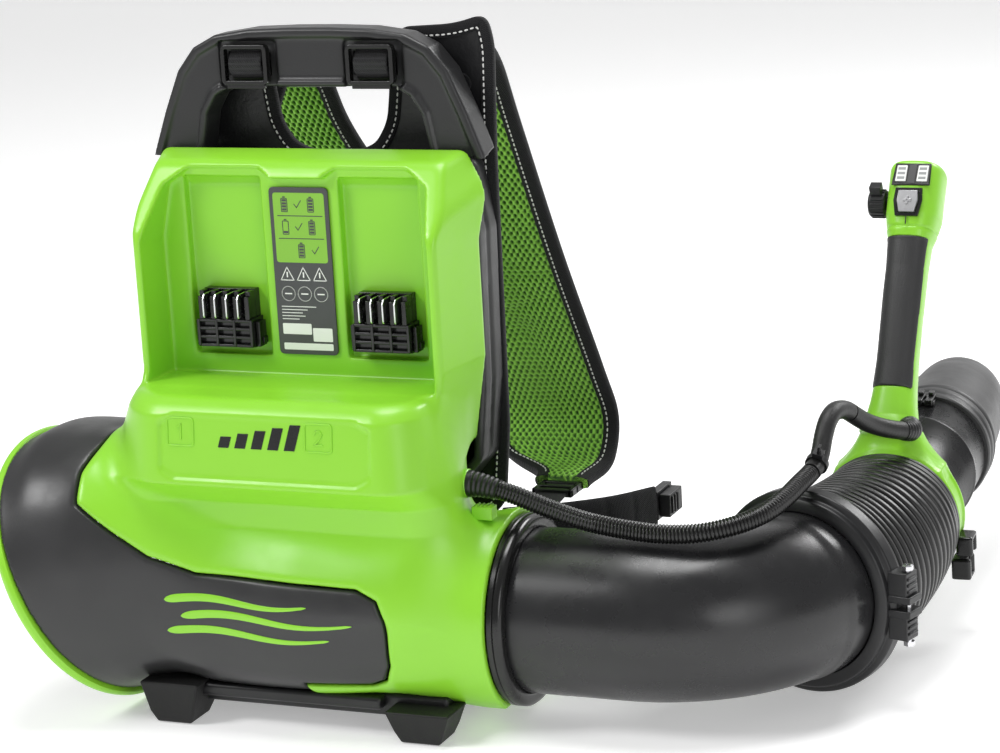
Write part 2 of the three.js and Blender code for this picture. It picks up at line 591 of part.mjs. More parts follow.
// ---- tube group: local +Y runs along the tube, local origin at the handle ring ----
const tubeGroup = new THREE.Group();
tubeGroup.position.copy(ringCentre);
tubeGroup.rotation.set(tubePitch, 0, tubeYaw, 'ZXY');
pack.add(tubeGroup);
const ringY = (y0, y1, inner, outer, sides = 36) => ringX(y0, y1, inner, outer, sides).rotateZ(Math.PI / 2);
add(tubeGroup, 'front_cuff', revolveX([
  [-25.6, 45.4], [-25.6, 55], [-20, 54], [-13.4, 50], [-13.4, 45.4],
], 28, true).rotateZ(Math.PI / 2), black);
add(tubeGroup, 'blower_tube', ringY(-24, 146, TUBE.inner, TUBE.outer, 32), black);
const RING = { inner: 45.5, outer: 53, half: 13, endZ: -30 };
const ringBand = ringY(-RING.half, RING.half, RING.inner, RING.outer, 32);
const saddle = skin([
  [V(-24, -13, 40), V(24, -13, 40), V(24, 13, 40), V(-24, 13, 40)],
  [V(-16, -10, 57), V(16, -10, 57), V(16, 13, 57), V(-16, 13, 57)],
]);
const tubeClear = rodY(-60, 60, RING.inner, 32);
const ringWhole = join(ringBand, cut(saddle, tubeClear));
add(tubeGroup, 'handle_ring', cut(ringWhole, box(-90, 90, -30, 30, -90, RING.endZ)), green);
const lowerBand = overlap(ringBand, box(-90, 90, -30, 30, -90, RING.endZ - GAP));
const clampEar = join(box(40, 60, -9, 9, -46, -34), box(53.4, 61, -9, 9, -36, -14));
add(tubeGroup, 'ring_clamp', join(lowerBand, cut(clampEar, tubeClear)), black);

// ---- nozzle: turns on the tube end, droops and curves inwards ----
const nozzleCurve = new THREE.CatmullRomCurve3([
  ringCentre.clone().addScaledVector(tubeAim, 147), ringCentre.clone().addScaledVector(tubeAim, 180),
  ...vectors([[342, 590, 106], [319, 690, 87], [293, 779, 57]]),
]);
const nozzleOuter = [[0, 48.5], [0.08, 48.5], [0.09, 46], [0.2, 44], [0.4, 40.5], [0.7, 37.5], [1, 35.5]];
const nozzleInner = nozzleOuter.map(([t, r]) => [t, Math.min(r - 2.6, 45.6)]);
add(pack, 'nozzle', pipe(nozzleCurve, nozzleOuter, nozzleInner, 20), black);
add(tubeGroup, 'nozzle_latch', box(-7, 7, 128, 145.5, 45.6, 50), black);

// ---- control handle: local Z runs up the grip, local -Y faces the user ----
const handle = new THREE.Group();
handle.position.set(360, 327, 163);
handle.rotation.set(-GRIP.lean, 0, 0);
pack.add(handle);
const squircle = (halfX, halfY, y, z) => ring(V(0, y, z), V(1, 0, 0), V(0, 1, 0), halfX, halfY, 3, 16);
const post = skin([squircle(17, 15, -2, -9), squircle(18, 17, 0, -0.6)]);
const coreRing = (z) => squircle(GRIP.core, GRIP.core, 0, z);
const core = skin([coreRing(-2), coreRing(GRIP.length + 2)]);
const head = skin([
  squircle(19, 20, 1, GRIP.length + 0.4), squircle(21, 24, 3, GRIP.length + 16),
  squircle(21, 25, 4, GRIP.length + 52), squircle(18, 21, 4, GRIP.length + 60),
]);
const headHollow = box(-15, 15, -12, 20, GRIP.length + 8, GRIP.length + 48);
const triggerSlot = box(-6.5, 6.5, -4, 40, 88, 141);
const pinHole = rodX(-10, 10, 2.2).translate(0, 6, 135);
const buttonWell = box(-8.4, 8.4, -30, -8, GRIP.length + 14, GRIP.length + 32);
const windowWells = [-9.5, 9.5].map(
  (x) => box(x - 4.9, x + 4.9, -30, -11, GRIP.length + 36.4, GRIP.length + 46.4));
const leverHole = rodX(-30, -10, 5.4).translate(0, 2, GRIP.length + 28);
const handleBody = cut(
  join(post, core, head), headHollow, triggerSlot, pinHole, buttonWell, ...windowWells, leverHole);
add(handle, 'handle_shell_right', overlap(handleBody, box(0.2, 60, -60, 60, -40, 260)), green);
add(handle, 'handle_shell_left', overlap(handleBody, box(-60, -0.2, -60, 60, -40, 260)), green);
const sleeve = skin([
  [...squircle(GRIP.outer, GRIP.outer + 1, 0, 0)], [...squircle(GRIP.outer - 0.6, GRIP.outer, 0, 60)],
  [...squircle(GRIP.outer + 0.6, GRIP.outer + 1.5, 0, GRIP.length)],
]);
const coreClear = skin([
  squircle(GRIP.core + GAP, GRIP.core + GAP, 0, -5), squircle(GRIP.core + GAP, GRIP.core + GAP, 0, 160),
]);
add(handle, 'grip_sleeve', cut(sleeve, coreClear, triggerSlot), rubber);
const triggerPaddle = skin([
  [V(-5, 17.6, 94), V(5, 17.6, 94), V(5, 27, 96), V(-5, 27, 96)],
  [V(-5, 16.5, 112), V(5, 16.5, 112), V(5, 23, 112), V(-5, 23, 112)],
  [V(-5, 12, 134), V(5, 12, 134), V(5, 24, 136), V(-5, 24, 136)],
]);
const triggerBoss = join(rodX(-5, 5, 4).translate(0, 6, 135), box(-5, 5, 6, 14, 131.5, 138.5));
add(handle, 'trigger', cut(join(triggerPaddle, triggerBoss), rodX(-8, 8, 2.2).translate(0, 6, 135)), black);
add(handle, 'trigger_pin', rodX(-9.5, 9.5, 1.8).translate(0, 6, 135), steel);
add(handle, 'trigger_switch', box(-5.5, 5.5, -3.5, 3, 104, 122), black);
const buttonTop = box(-7.8, 7.8, -24.5, -11, GRIP.length + 14.5, GRIP.length + 31.5);
add(handle, 'boost_button', buttonTop, steel);
const displayBoard = box(-13.5, 13.5, -11.6, -10, GRIP.length + 34, GRIP.length + 46);
const windows = [-9.5, 9.5].map(
  (x) => box(x - 4.5, x + 4.5, -22.4, -11, GRIP.length + 36.8, GRIP.length + 46));
add(handle, 'led_display', join(displayBoard, ...windows), lens);
const knob = join(
  rodX(-31, -21.6, 12, 20), rodX(-23, -13, 5, 16), box(-36, -24, -4, 4, -20, 12));
add(handle, 'cruise_lever', knob.translate(0, 2, GRIP.length + 28), black);

// ---- wiring from the pack to the handle ----
const cordRoute = new THREE.CatmullRomCurve3(vectors([
  [120.6, 60, 175], [134, 60.5, 173.5], [156, 61, 168], [182, 61.5, 159], [210, 61, 151.5], [240, 60, 147.5],
  [268, 60, 146], [294, 65, 147], [315, 78, 150], [330, 97, 154], [338, 120, 159], [342, 143, 163.5],
  [344.5, 164, 166.5], [345.5, 176, 170], [346, 184, 176.5], [346.5, 190, 186], [347.5, 198, 195],
  [349, 208, 199.5], [350.5, 219, 199], [352.5, 231, 195.5], [355.5, 243, 188.5], [360, 256, 180.5],
  [366, 269, 174], [373, 281, 169], [379, 292, 165.5], [381, 302, 163.5], [378, 310, 163],
]));
const CORD_TIE_AT = 0.66;                 // shares of the route's length
const CORD_MIDDLE_AT = 0.8;
const cordSection = outline(ring(V(0, 0, 0), V(1, 0, 0), V(0, 1, 0), CORD_RADIUS, CORD_RADIUS, 2, 8)
  .map((p) => [p.x, p.y]));
function cord(from, to, steps) {
  const points = evenly(steps, (t) => cordRoute.getPointAt(THREE.MathUtils.lerp(from, to, t)));
  const path = new THREE.CatmullRomCurve3(points);
  return new THREE.ExtrudeGeometry(cordSection, { steps, bevelEnabled: false, extrudePath: path });
}
const CORD_GAP = 0.007;
add(pack, 'cord_conduit', cord(0, CORD_TIE_AT, 20), rubber);
add(pack, 'cord_sheath_rear', cord(CORD_TIE_AT + CORD_GAP, CORD_MIDDLE_AT, 8), rubber);
add(pack, 'cord_sheath_front', cord(CORD_MIDDLE_AT + CORD_GAP, 1, 10), rubber);
const tie = cut(rodX(-2.2, 2.2, 9.6, 20), rodX(-6, 6, CORD_RADIUS + 0.9, 20))
  .rotateZ(rad(82)).translate(341.2, 137, 162.4);
add(pack, 'cable_tie', tie, black);

export default blower;
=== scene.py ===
"""Backpack leaf blower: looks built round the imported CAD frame.

Shapes are written in the part's design frame in millimetres (x across the pack, y away from the
battery side, z up) and turned into row metres by to_row().
"""
import json
import math

import bpy
import numpy as np
from mathutils import Matrix, Vector


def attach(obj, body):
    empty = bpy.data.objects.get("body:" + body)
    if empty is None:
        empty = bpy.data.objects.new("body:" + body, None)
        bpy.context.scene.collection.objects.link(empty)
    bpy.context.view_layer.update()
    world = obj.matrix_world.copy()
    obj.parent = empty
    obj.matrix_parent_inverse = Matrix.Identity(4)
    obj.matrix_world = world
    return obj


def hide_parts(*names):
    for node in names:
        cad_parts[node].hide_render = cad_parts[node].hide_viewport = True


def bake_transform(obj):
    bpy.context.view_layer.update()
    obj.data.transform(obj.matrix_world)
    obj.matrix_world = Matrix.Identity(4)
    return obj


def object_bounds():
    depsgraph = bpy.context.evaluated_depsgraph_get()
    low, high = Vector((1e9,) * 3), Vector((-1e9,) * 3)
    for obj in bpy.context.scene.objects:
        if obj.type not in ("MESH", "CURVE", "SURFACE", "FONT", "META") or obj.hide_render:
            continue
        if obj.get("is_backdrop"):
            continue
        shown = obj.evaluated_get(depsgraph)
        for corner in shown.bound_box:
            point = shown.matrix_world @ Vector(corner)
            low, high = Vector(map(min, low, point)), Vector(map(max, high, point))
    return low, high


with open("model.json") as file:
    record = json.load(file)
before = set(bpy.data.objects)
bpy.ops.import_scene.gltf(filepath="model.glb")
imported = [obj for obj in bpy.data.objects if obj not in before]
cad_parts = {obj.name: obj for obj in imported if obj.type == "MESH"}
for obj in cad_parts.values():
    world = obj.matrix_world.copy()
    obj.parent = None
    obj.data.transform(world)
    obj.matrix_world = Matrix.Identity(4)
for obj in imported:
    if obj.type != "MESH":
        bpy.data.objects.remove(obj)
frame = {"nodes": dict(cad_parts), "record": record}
CAD_BOX = [list(corner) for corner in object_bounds()]

# ---------------------------------------------------------------- driving dimensions (mm)
REST_Y = 120.0
WALL = 6.0
INTAKE_CENTRE = np.array([-180.0, 50.0, 104.0])
INTAKE_UP, INTAKE_ACROSS = 106.0, 105.0
INTAKE_TILT, INTAKE_YAW = math.radians(24), math.radians(5)
OUTLET = np.array([151.0, 75.0, 78.5])
ELBOW_RADIUS, ELBOW_BORE, ELBOW_BEND = 60.0, 57.0, 105.0
ELBOW_STRAIGHT_X, ELBOW_SWEEP = 236.0, math.radians(76)
RING_CENTRE = np.array([361.0, 316.0, 92.0])
TUBE_YAW, TUBE_PITCH = math.radians(3.1), math.radians(4.1)
GRIP_BASE = np.array([360.0, 327.0, 163.0])
GRIP_LEAN = math.radians(27.8)
SHELF_Z, BAY_BACK_Y, RIM_Y, TOWER_BACK_Y = 248.0, 66.0, 29.0, 93.0
PANEL_FRONT_Y, PANEL_BACK_Y = 130.4, 135.0
CORD_RADIUS = 7.0

# ---------------------------------------------------------------- camera
CAMERA_AZ, CAMERA_EL, CAMERA_ROLL = (math.radians(a) for a in (23.2, 13.4, 3.3))
CAMERA_AT = np.array([960.9, -1830.2, 744.6])
CAMERA_LENS, CAMERA_SENSOR = 108.0, 36.0


def to_row(points):
    return (np.asarray(points, float) - (0, REST_Y, 0)) / 1000


def unit(v):
    v = np.asarray(v, float)
    return v / np.linalg.norm(v)


def add_camera():
    forward = np.array([
        -math.sin(CAMERA_AZ) * math.cos(CAMERA_EL),
        math.cos(CAMERA_AZ) * math.cos(CAMERA_EL),
        -math.sin(CAMERA_EL),
    ])
    right = np.array([math.cos(CAMERA_AZ), math.sin(CAMERA_AZ), 0])
    up = np.cross(right, forward)
    c, s = math.cos(CAMERA_ROLL), math.sin(CAMERA_ROLL)
    axes = np.column_stack([c * right - s * up, s * right + c * up, -forward])
    data = bpy.data.cameras.new("camera")
    data.lens = CAMERA_LENS
    data.sensor_width = CAMERA_SENSOR
    data.clip_end = 50
    camera = bpy.data.objects.new("camera", data)
    bpy.context.scene.collection.objects.link(camera)
    matrix = np.eye(4)
    matrix[:3, :3] = axes
    matrix[:3, 3] = to_row(CAMERA_AT)
    camera.matrix_world = Matrix(matrix.tolist())
    bpy.context.scene.camera = camera


add_camera()


# ---------------------------------------------------------------- procedural materials
class Nodes:
    """Short helpers round one material's node tree."""

    def __init__(self, name, colour, roughness=0.5, metallic=0.0, **extra):
        self.material = bpy.data.materials.new(name)
        self.material.use_nodes = True
        self.material.diffuse_color = (*colour, 1)
        self.tree = self.material.node_tree
        self.shader = self.tree.nodes["Principled BSDF"]
        self.set("Base Color", (*colour, 1))
        self.set("Roughness", roughness)
        self.set("Metallic", metallic)
        for key, value in extra.items():
            self.set(key.replace("_", " "), value)
        coordinates = self.add("ShaderNodeTexCoord")
        self.place = coordinates.outputs["Object"]

    def set(self, socket, value):
        self.shader.inputs[socket].default_value = value

    def add(self, kind, **settings):
        node = self.tree.nodes.new(kind)
        for key, value in settings.items():
            setattr(node, key, value)
        return node

    def link(self, source, target):
        self.tree.links.new(source, target)
        return target

    def noise(self, scale, detail=2.0, rough=0.5, place=None):
        node = self.add("ShaderNodeTexNoise")
        node.inputs["Scale"].default_value = scale
        node.inputs["Detail"].default_value = detail
        node.inputs["Roughness"].default_value = rough
        self.link(place or self.place, node.inputs["Vector"])
        return node.outputs["Fac"]

    def spread(self, source, low, high, from_low=0.35, from_high=0.65):
        node = self.add("ShaderNodeMapRange")
        self.link(source, node.inputs["Value"])
        for socket, value in (("From Min", from_low), ("From Max", from_high), ("To Min", low),
                              ("To Max", high)):
            node.inputs[socket].default_value = value
        return node.outputs["Result"]

    def mix(self, factor, first, second):
        node = self.add("ShaderNodeMix", data_type="RGBA")
        sockets = {"factor": node.inputs[0], "a": node.inputs[6], "b": node.inputs[7]}
        for key, value in (("factor", factor), ("a", first), ("b", second)):
            if isinstance(value, bpy.types.NodeSocket):
                self.link(value, sockets[key])
            elif key == "factor":
                sockets[key].default_value = value
            else:
                sockets[key].default_value = (*value, 1)
        return node.outputs[2]

    def math(self, operation, first, second=0.0):
        node = self.add("ShaderNodeMath", operation=operation)
        for i, value in enumerate((first, second)):
            if isinstance(value, bpy.types.NodeSocket):
                self.link(value, node.inputs[i])
            else:
                node.inputs[i].default_value = value
        return node.outputs[0]

    def attribute(self, name):
        return self.add("ShaderNodeAttribute", attribute_name=name)

    def colour(self, source):
        self.link(source, self.shader.inputs["Base Color"])

    def rough(self, source):
        self.link(source, self.shader.inputs["Roughness"])

    def bump(self, height, distance, strength=1.0):
        node = self.add("ShaderNodeBump")
        node.inputs["Distance"].default_value = distance
        node.inputs["Strength"].default_value = strength
        self.link(height, node.inputs["Height"])
        self.link(node.outputs["Normal"], self.shader.inputs["Normal"])


def moulded(name, colour, roughness, grain=0.00012, grain_scale=900, tint=0.06, **extra):
    """Moulded plastic: fine spark-eroded grain, slow colour drift and patchy gloss from handling."""
    n = Nodes(name, colour, roughness, **extra)
    drift = n.noise(7, 3)
    darker = tuple(c * (1 - tint) for c in colour)
    lighter = tuple(min(1, c * (1 + tint)) for c in colour)
    n.colour(n.mix(drift, darker, lighter))
    patches = n.noise(28, 4, 0.6)
    n.rough(n.spread(patches, max(0.05, roughness - 0.05), roughness + 0.07))
    n.bump(n.noise(grain_scale, 2, 0.7), grain, 0.55)
    return n.material


def webbing_material(name, colour, rib=520.0, along_pitch=1.5, depth=0.0003):
    """Woven tape: ribs across the band and a fine weave along it, from the band's own coordinates."""
    n = Nodes(name, colour, 0.82)
    n.set("Sheen Weight", 0.06)
    n.set("Sheen Roughness", 0.5)
    n.set("Specular IOR Level", 0.25)
    split = n.add("ShaderNodeSeparateXYZ")
    n.link(n.attribute("band").outputs["Vector"], split.inputs[0])
    along = n.math("SINE", n.math("MULTIPLY", split.outputs["X"], 2 * math.pi / along_pitch))
    diagonal = n.math("ADD", split.outputs["X"], split.outputs["Y"])
    twill = n.math("SINE", n.math("MULTIPLY", diagonal, 2 * math.pi / 1.9))
    weave = n.math("MAXIMUM", along, twill)
    fuzz = n.noise(rib, 3, 0.7)
    height = n.math("ADD", n.math("MULTIPLY", weave, 0.5), fuzz)
    n.bump(height, depth, 0.9)
    # Partly painted light: the colour follows the weave's height, darker in its dips as painted shade and
    # lighter on its ridges as painted highlight, with random fuzz tone mixed in.
    dark = tuple(c * 0.45 for c in colour)
    light = tuple(min(1, c * 1.9) for c in colour)
    n.colour(n.mix(n.spread(height, 0, 1, -0.3, 1.4), dark, light))
    return n.material


def mesh_material(name, light, dark):
    """Spacer mesh: the holes are in the geometry, and their depth is stored in the hole attribute, which also
    paints shade in them.
    """
    n = Nodes(name, light, 0.72)
    n.set("Sheen Weight", 0.15)
    n.set("Sheen Roughness", 0.4)
    hole = n.attribute("hole").outputs["Fac"]
    yarn = n.noise(1700, 2, 0.8)
    body = n.mix(n.spread(yarn, 0, 1, 0.3, 0.7), tuple(c * 0.72 for c in light), light)
    # painted shade: the hole mask mixes the dark colour into the holes in place of the shade inside them
    n.colour(n.mix(hole, body, dark))
    n.bump(yarn, 0.00035, 0.8)
    return n.material


GREEN = (0.265, 0.645, 0.032)
green_plastic = moulded("green_plastic", GREEN, 0.33, grain=0.00008, tint=0.035, Coat_Weight=0.12,
                        Coat_Roughness=0.25)
green_plate = moulded("green_plate", (0.23, 0.50, 0.045), 0.45, tint=0.04)
cowl_plastic = moulded("cowl_plastic", (0.028, 0.028, 0.029), 0.34, grain=0.0001, tint=0.08)
black_plastic = moulded("black_plastic", (0.008, 0.008, 0.009), 0.38, tint=0.12)
frame_plastic = moulded("frame_plastic", (0.019, 0.019, 0.020), 0.38, grain=0.0002, grain_scale=700,
                        tint=0.12)
gloss_black = moulded("gloss_black", (0.006, 0.006, 0.006), 0.22, grain=0.00005, tint=0.1)
tube_plastic = moulded("tube_plastic", (0.014, 0.014, 0.015), 0.27, grain=0.00009, tint=0.1)
nozzle_plastic = moulded("nozzle_plastic", (0.036, 0.036, 0.037), 0.44, grain=0.0002, grain_scale=650,
                         tint=0.1)
hose_rubber = moulded("hose_rubber", (0.010, 0.010, 0.010), 0.34, grain=0.00015, tint=0.12)
soft_rubber = moulded("soft_rubber", (0.026, 0.026, 0.027), 0.48, grain=0.0004, grain_scale=800, tint=0.1)
foot_rubber = moulded("foot_rubber", (0.014, 0.014, 0.014), 0.55, grain=0.0003, tint=0.12,
                      Specular_IOR_Level=0.3)
conduit_plastic = moulded("conduit_plastic", (0.005, 0.005, 0.005), 0.24, grain=0.0001, tint=0.1)
sheath_plastic = moulded("sheath_plastic", (0.010, 0.010, 0.010), 0.42, grain=0.0004, grain_scale=1300,
                         tint=0.1)
plated_steel = moulded("plated_steel", (0.66, 0.66, 0.68), 0.24, grain=0.00003, grain_scale=1500, tint=0.05,
                       Metallic=1.0)
silver_paint = moulded("silver_paint", (0.42, 0.42, 0.43), 0.34, tint=0.05, Metallic=0.7)
copper = moulded("copper", (0.72, 0.32, 0.14), 0.35, grain=0.0004, grain_scale=300, Metallic=0.9)
circuit = moulded("circuit", (0.02, 0.16, 0.06), 0.45)
led_lens = moulded("led_lens", (0.86, 0.87, 0.85), 0.28, grain=0.00004, tint=0.02)
led_mark = moulded("led_mark", (0.30, 0.31, 0.31), 0.5)
plate_dark = moulded("plate_dark", (0.058, 0.060, 0.063), 0.42, tint=0.05)
print_white = moulded("print_white", (0.83, 0.83, 0.82), 0.5, tint=0.02)
panel_laminate = moulded("panel_laminate", (0.010, 0.010, 0.011), 0.36, grain=0.0005, grain_scale=240,
                         tint=0.15)
twill = webbing_material("twill", (0.008, 0.008, 0.009))
webbing = webbing_material("webbing", (0.010, 0.010, 0.011))
ribbed_webbing = webbing_material("ribbed_webbing", (0.020, 0.020, 0.021), along_pitch=3.4, depth=0.0011)
thread = moulded("thread", (0.70, 0.70, 0.68), 0.75, grain=0.0002, grain_scale=2500)
# spacer_green: the second colour is painted shade for the inside of the mesh holes
spacer_green = mesh_material("spacer_green", (0.36, 0.78, 0.09), (0.020, 0.085, 0.006))


# ---------------------------------------------------------------- mesh helpers
def piece(name, points, faces, material, body="pack", replaces=(), slot=None, sharp=32, bevel=0.0):
    """A mesh object from design-frame points. sharp is the angle above which an edge stays crisp."""
    mesh = bpy.data.meshes.new(name)
    mesh.from_pydata(to_row(points).tolist(), [], [list(map(int, f)) for f in faces])
    mesh.validate()
    mesh.shade_smooth()
    if sharp:
        mesh.set_sharp_from_angle(angle=math.radians(sharp))
    mesh.materials.append(material)
    obj = bpy.data.objects.new(name, mesh)
    bpy.context.scene.collection.objects.link(obj)
    if bevel:
        modifier = obj.modifiers.new("bevel", "BEVEL")
        modifier.width = bevel / 1000
        modifier.segments = 3
        modifier.limit_method = "ANGLE"
        modifier.angle_limit = math.radians(35)
    if body:
        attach(obj, body)
    if replaces:
        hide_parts(*replaces)
    return obj


def attribute(obj, name, values, kind="FLOAT"):
    data = obj.data.attributes.new(name, kind, "POINT").data
    data.foreach_set("value" if kind == "FLOAT" else "vector", np.asarray(values, np.float32).ravel())


def grid_faces(rows, columns, wrap_rows=False, wrap_columns=True, base=0):
    faces = []
    for i in range(rows if wrap_rows else rows - 1):
        low, high = i * columns, ((i + 1) % rows) * columns
        for j in range(columns if wrap_columns else columns - 1):
            k = (j + 1) % columns
            faces.append((base + low + j, base + low + k, base + high + k, base + high + j))
    return faces


class Builder:
    """Collects several closed shells into one mesh."""

    def __init__(self):
        self.points, self.faces = [], []

    def add(self, points, faces):
        base = sum(len(p) for p in self.points)
        self.points.append(np.asarray(points, float))
        self.faces += [tuple(base + v for v in f) for f in faces]
        return self

    def box(self, low, high, at=(0, 0, 0), axes=np.eye(3)):
        (x0, y0, z0), (x1, y1, z1) = low, high
        corners = [(x, y, z) for z in (z0, z1) for x, y in ((x0, y0), (x1, y0), (x1, y1), (x0, y1))]
        faces = [(3, 2, 1, 0), (4, 5, 6, 7), (0, 1, 5, 4), (1, 2, 6, 5), (2, 3, 7, 6), (3, 0, 4, 7)]
        return self.add(np.asarray(corners, float) @ np.asarray(axes) + at, faces)

    def prism(self, outline, low, high, place):
        """A flat outline of (u, v) points between two heights; place(u, v, w) gives the 3-D point."""
        n = len(outline)
        points = [place(u, v, w) for w in (low, high) for u, v in outline]
        faces = [tuple(range(n - 1, -1, -1)), tuple(range(n, 2 * n))]
        faces += [(i, (i + 1) % n, n + (i + 1) % n, n + i) for i in range(n)]
        return self.add(points, faces)

    def make(self, name, material, **options):
        return piece(name, np.concatenate(self.points), self.faces, material, **options)


def frames(path, up=(0, 0, 1), closed=False):
    """Tangent, across and up vectors at each point of a path."""
    path = np.asarray(path, float)
    if closed:
        tangent = np.roll(path, -1, 0) - np.roll(path, 1, 0)
    else:
        tangent = np.gradient(path, axis=0)
    tangent /= np.linalg.norm(tangent, axis=1)[:, None]
    across = np.cross(tangent, np.asarray(up, float))
    across /= np.linalg.norm(across, axis=1)[:, None]
    return tangent, across, np.cross(across, tangent)


def circle(count):
    a = np.linspace(0, 2 * math.pi, count, endpoint=False)
    return np.column_stack([np.cos(a), np.sin(a)])


def sweep(path, sections, up=(0, 0, 1)):
    """Rings of (across, up) offsets carried along a path; returns an array (rings, points, 3)."""
    _, across, rise = frames(path, up)
    sections = np.asarray(sections, float)
    return (np.asarray(path, float)[:, None]
            + sections[..., 0:1] * across[:, None] + sections[..., 1:2] * rise[:, None])


def pipe_rings(path, outer, inner, sides=72, up=(0, 0, 1)):
    """A hollow tube wall with its own radius at each path point, outside and inside."""
    round_section = circle(sides)
    outside = sweep(path, np.asarray(outer)[:, None, None] * round_section, up)
    inside = sweep(path, np.asarray(inner)[:, None, None] * round_section, up)[::-1]
    return np.concatenate([outside, inside])


def pipe(name, path, outer, inner, material, sides=72, up=(0, 0, 1), **options):
    rings = pipe_rings(path, outer, inner, sides, up)
    return piece(name, rings.reshape(-1, 3), grid_faces(len(rings), sides, wrap_rows=True), material,
                 **options)


def lathe(profile, origin, axis, sides=72, up=(0, 0, 1)):
    """A closed profile of (along, radius) pairs turned round an axis: points and faces."""
    profile = np.asarray(profile, float)
    axis = unit(axis)
    across = unit(np.cross(axis, up))
    rise = np.cross(across, axis)
    ring = circle(sides)
    rings = (np.asarray(origin, float) + profile[:, None, 0:1] * axis
             + profile[:, None, 1:2] * (ring[None, :, 0:1] * across + ring[None, :, 1:2] * rise))
    return rings.reshape(-1, 3), grid_faces(len(profile), sides, wrap_rows=True)


def smooth_path(points, count):
    """Catmull-Rom curve through the points, resampled evenly."""
    p = np.asarray(points, float)
    p = np.vstack([2 * p[0] - p[1], p, 2 * p[-1] - p[-2]])
    dense = []
    for i in range(1, len(p) - 2):
        for t in np.linspace(0, 1, 24, endpoint=False):
            a, b, c, d = p[i - 1:i + 3]
            dense.append(0.5 * (2 * b + (c - a) * t + (2 * a - 5 * b + 4 * c - d) * t * t
                                + (3 * b - a - 3 * c + d) * t ** 3))
    dense.append(p[-2])
    dense = np.array(dense)
    travelled = np.concatenate([[0], np.cumsum(np.linalg.norm(np.diff(dense, axis=0), axis=1))])
    return np.column_stack([np.interp(np.linspace(0, travelled[-1], count), travelled,
                                      dense[:, k]) for k in range(3)])


def path_length(path):
    return float(np.linalg.norm(np.diff(path, axis=0), axis=1).sum())


# ---------------------------------------------------------------- implicit solids
def smin(a, b, k):
    h = np.clip(0.5 + 0.5 * (b - a) / k, 0, 1)
    return b * (1 - h) + a * h - k * h * (1 - h)


def smax(a, b, k):
    return -smin(-a, -b, k)


def smoothstep(low, high, x):
    t = np.clip((x - low) / (high - low), 0, 1)
    return t * t * (3 - 2 * t)


def polygon(x, z, outline, corner=0.0):
    """Signed distance to a closed outline in a plane; corner rounds its convex corners."""
    outline = np.asarray(outline, float)
    if corner:
        outline = inset(outline, corner)
    nearest = np.full(np.broadcast(x, z).shape, 1e9)
    inside = np.zeros(nearest.shape, bool)
    for (ax, az), (bx, bz) in zip(outline, np.roll(outline, -1, 0)):
        ex, ez = bx - ax, bz - az
        t = np.clip(((x - ax) * ex + (z - az) * ez) / (ex * ex + ez * ez), 0, 1)
        nearest = np.minimum(nearest, (x - ax - t * ex) ** 2 + (z - az - t * ez) ** 2)
        crosses = ((az > z) != (bz > z)) & (x < ex * (z - az) / np.where(ez == 0, 1e-9, ez) + ax)
        inside ^= crosses
    return np.where(inside, -1, 1) * np.sqrt(nearest) - corner


def inset(outline, distance):
    """The outline moved inwards by a distance, corner by corner."""
    area = 0.5 * sum(a[0] * b[1] - b[0] * a[1] for a, b in zip(outline, np.roll(outline, -1, 0)))
    turn = 1 if area > 0 else -1
    result = []
    for before, point, after in zip(np.roll(outline, 1, 0), outline, np.roll(outline, -1, 0)):
        u, v = unit(point - before), unit(after - point)
        n1, n2 = turn * np.array([-u[1], u[0]]), turn * np.array([-v[1], v[0]])
        result.append(point + distance * (n1 + n2) / max(0.3, 1 + n1 @ n2))
    return np.array(result)


def both_sides(right):
    return right + [(-x, z) for x, z in reversed(right)]


CORNERS = [(0, 0, 0), (1, 0, 0), (0, 1, 0), (1, 1, 0), (0, 0, 1), (1, 0, 1), (0, 1, 1), (1, 1, 1)]
EDGES = [(0, 1), (2, 3), (4, 5), (6, 7), (0, 2), (1, 3), (4, 6), (5, 7), (0, 4), (1, 5), (2, 6), (3, 7)]


def trilinear(field, at):
    at = np.clip(at, 0, np.array(field.shape) - 1.001)
    base = at.astype(int)
    f = at - base
    total = np.zeros(len(at))
    for dx, dy, dz in CORNERS:
        weight = (np.where(dx, f[:, 0], 1 - f[:, 0]) * np.where(dy, f[:, 1], 1 - f[:, 1])
                  * np.where(dz, f[:, 2], 1 - f[:, 2]))
        total += weight * field[base[:, 0] + dx, base[:, 1] + dy, base[:, 2] + dz]
    return total


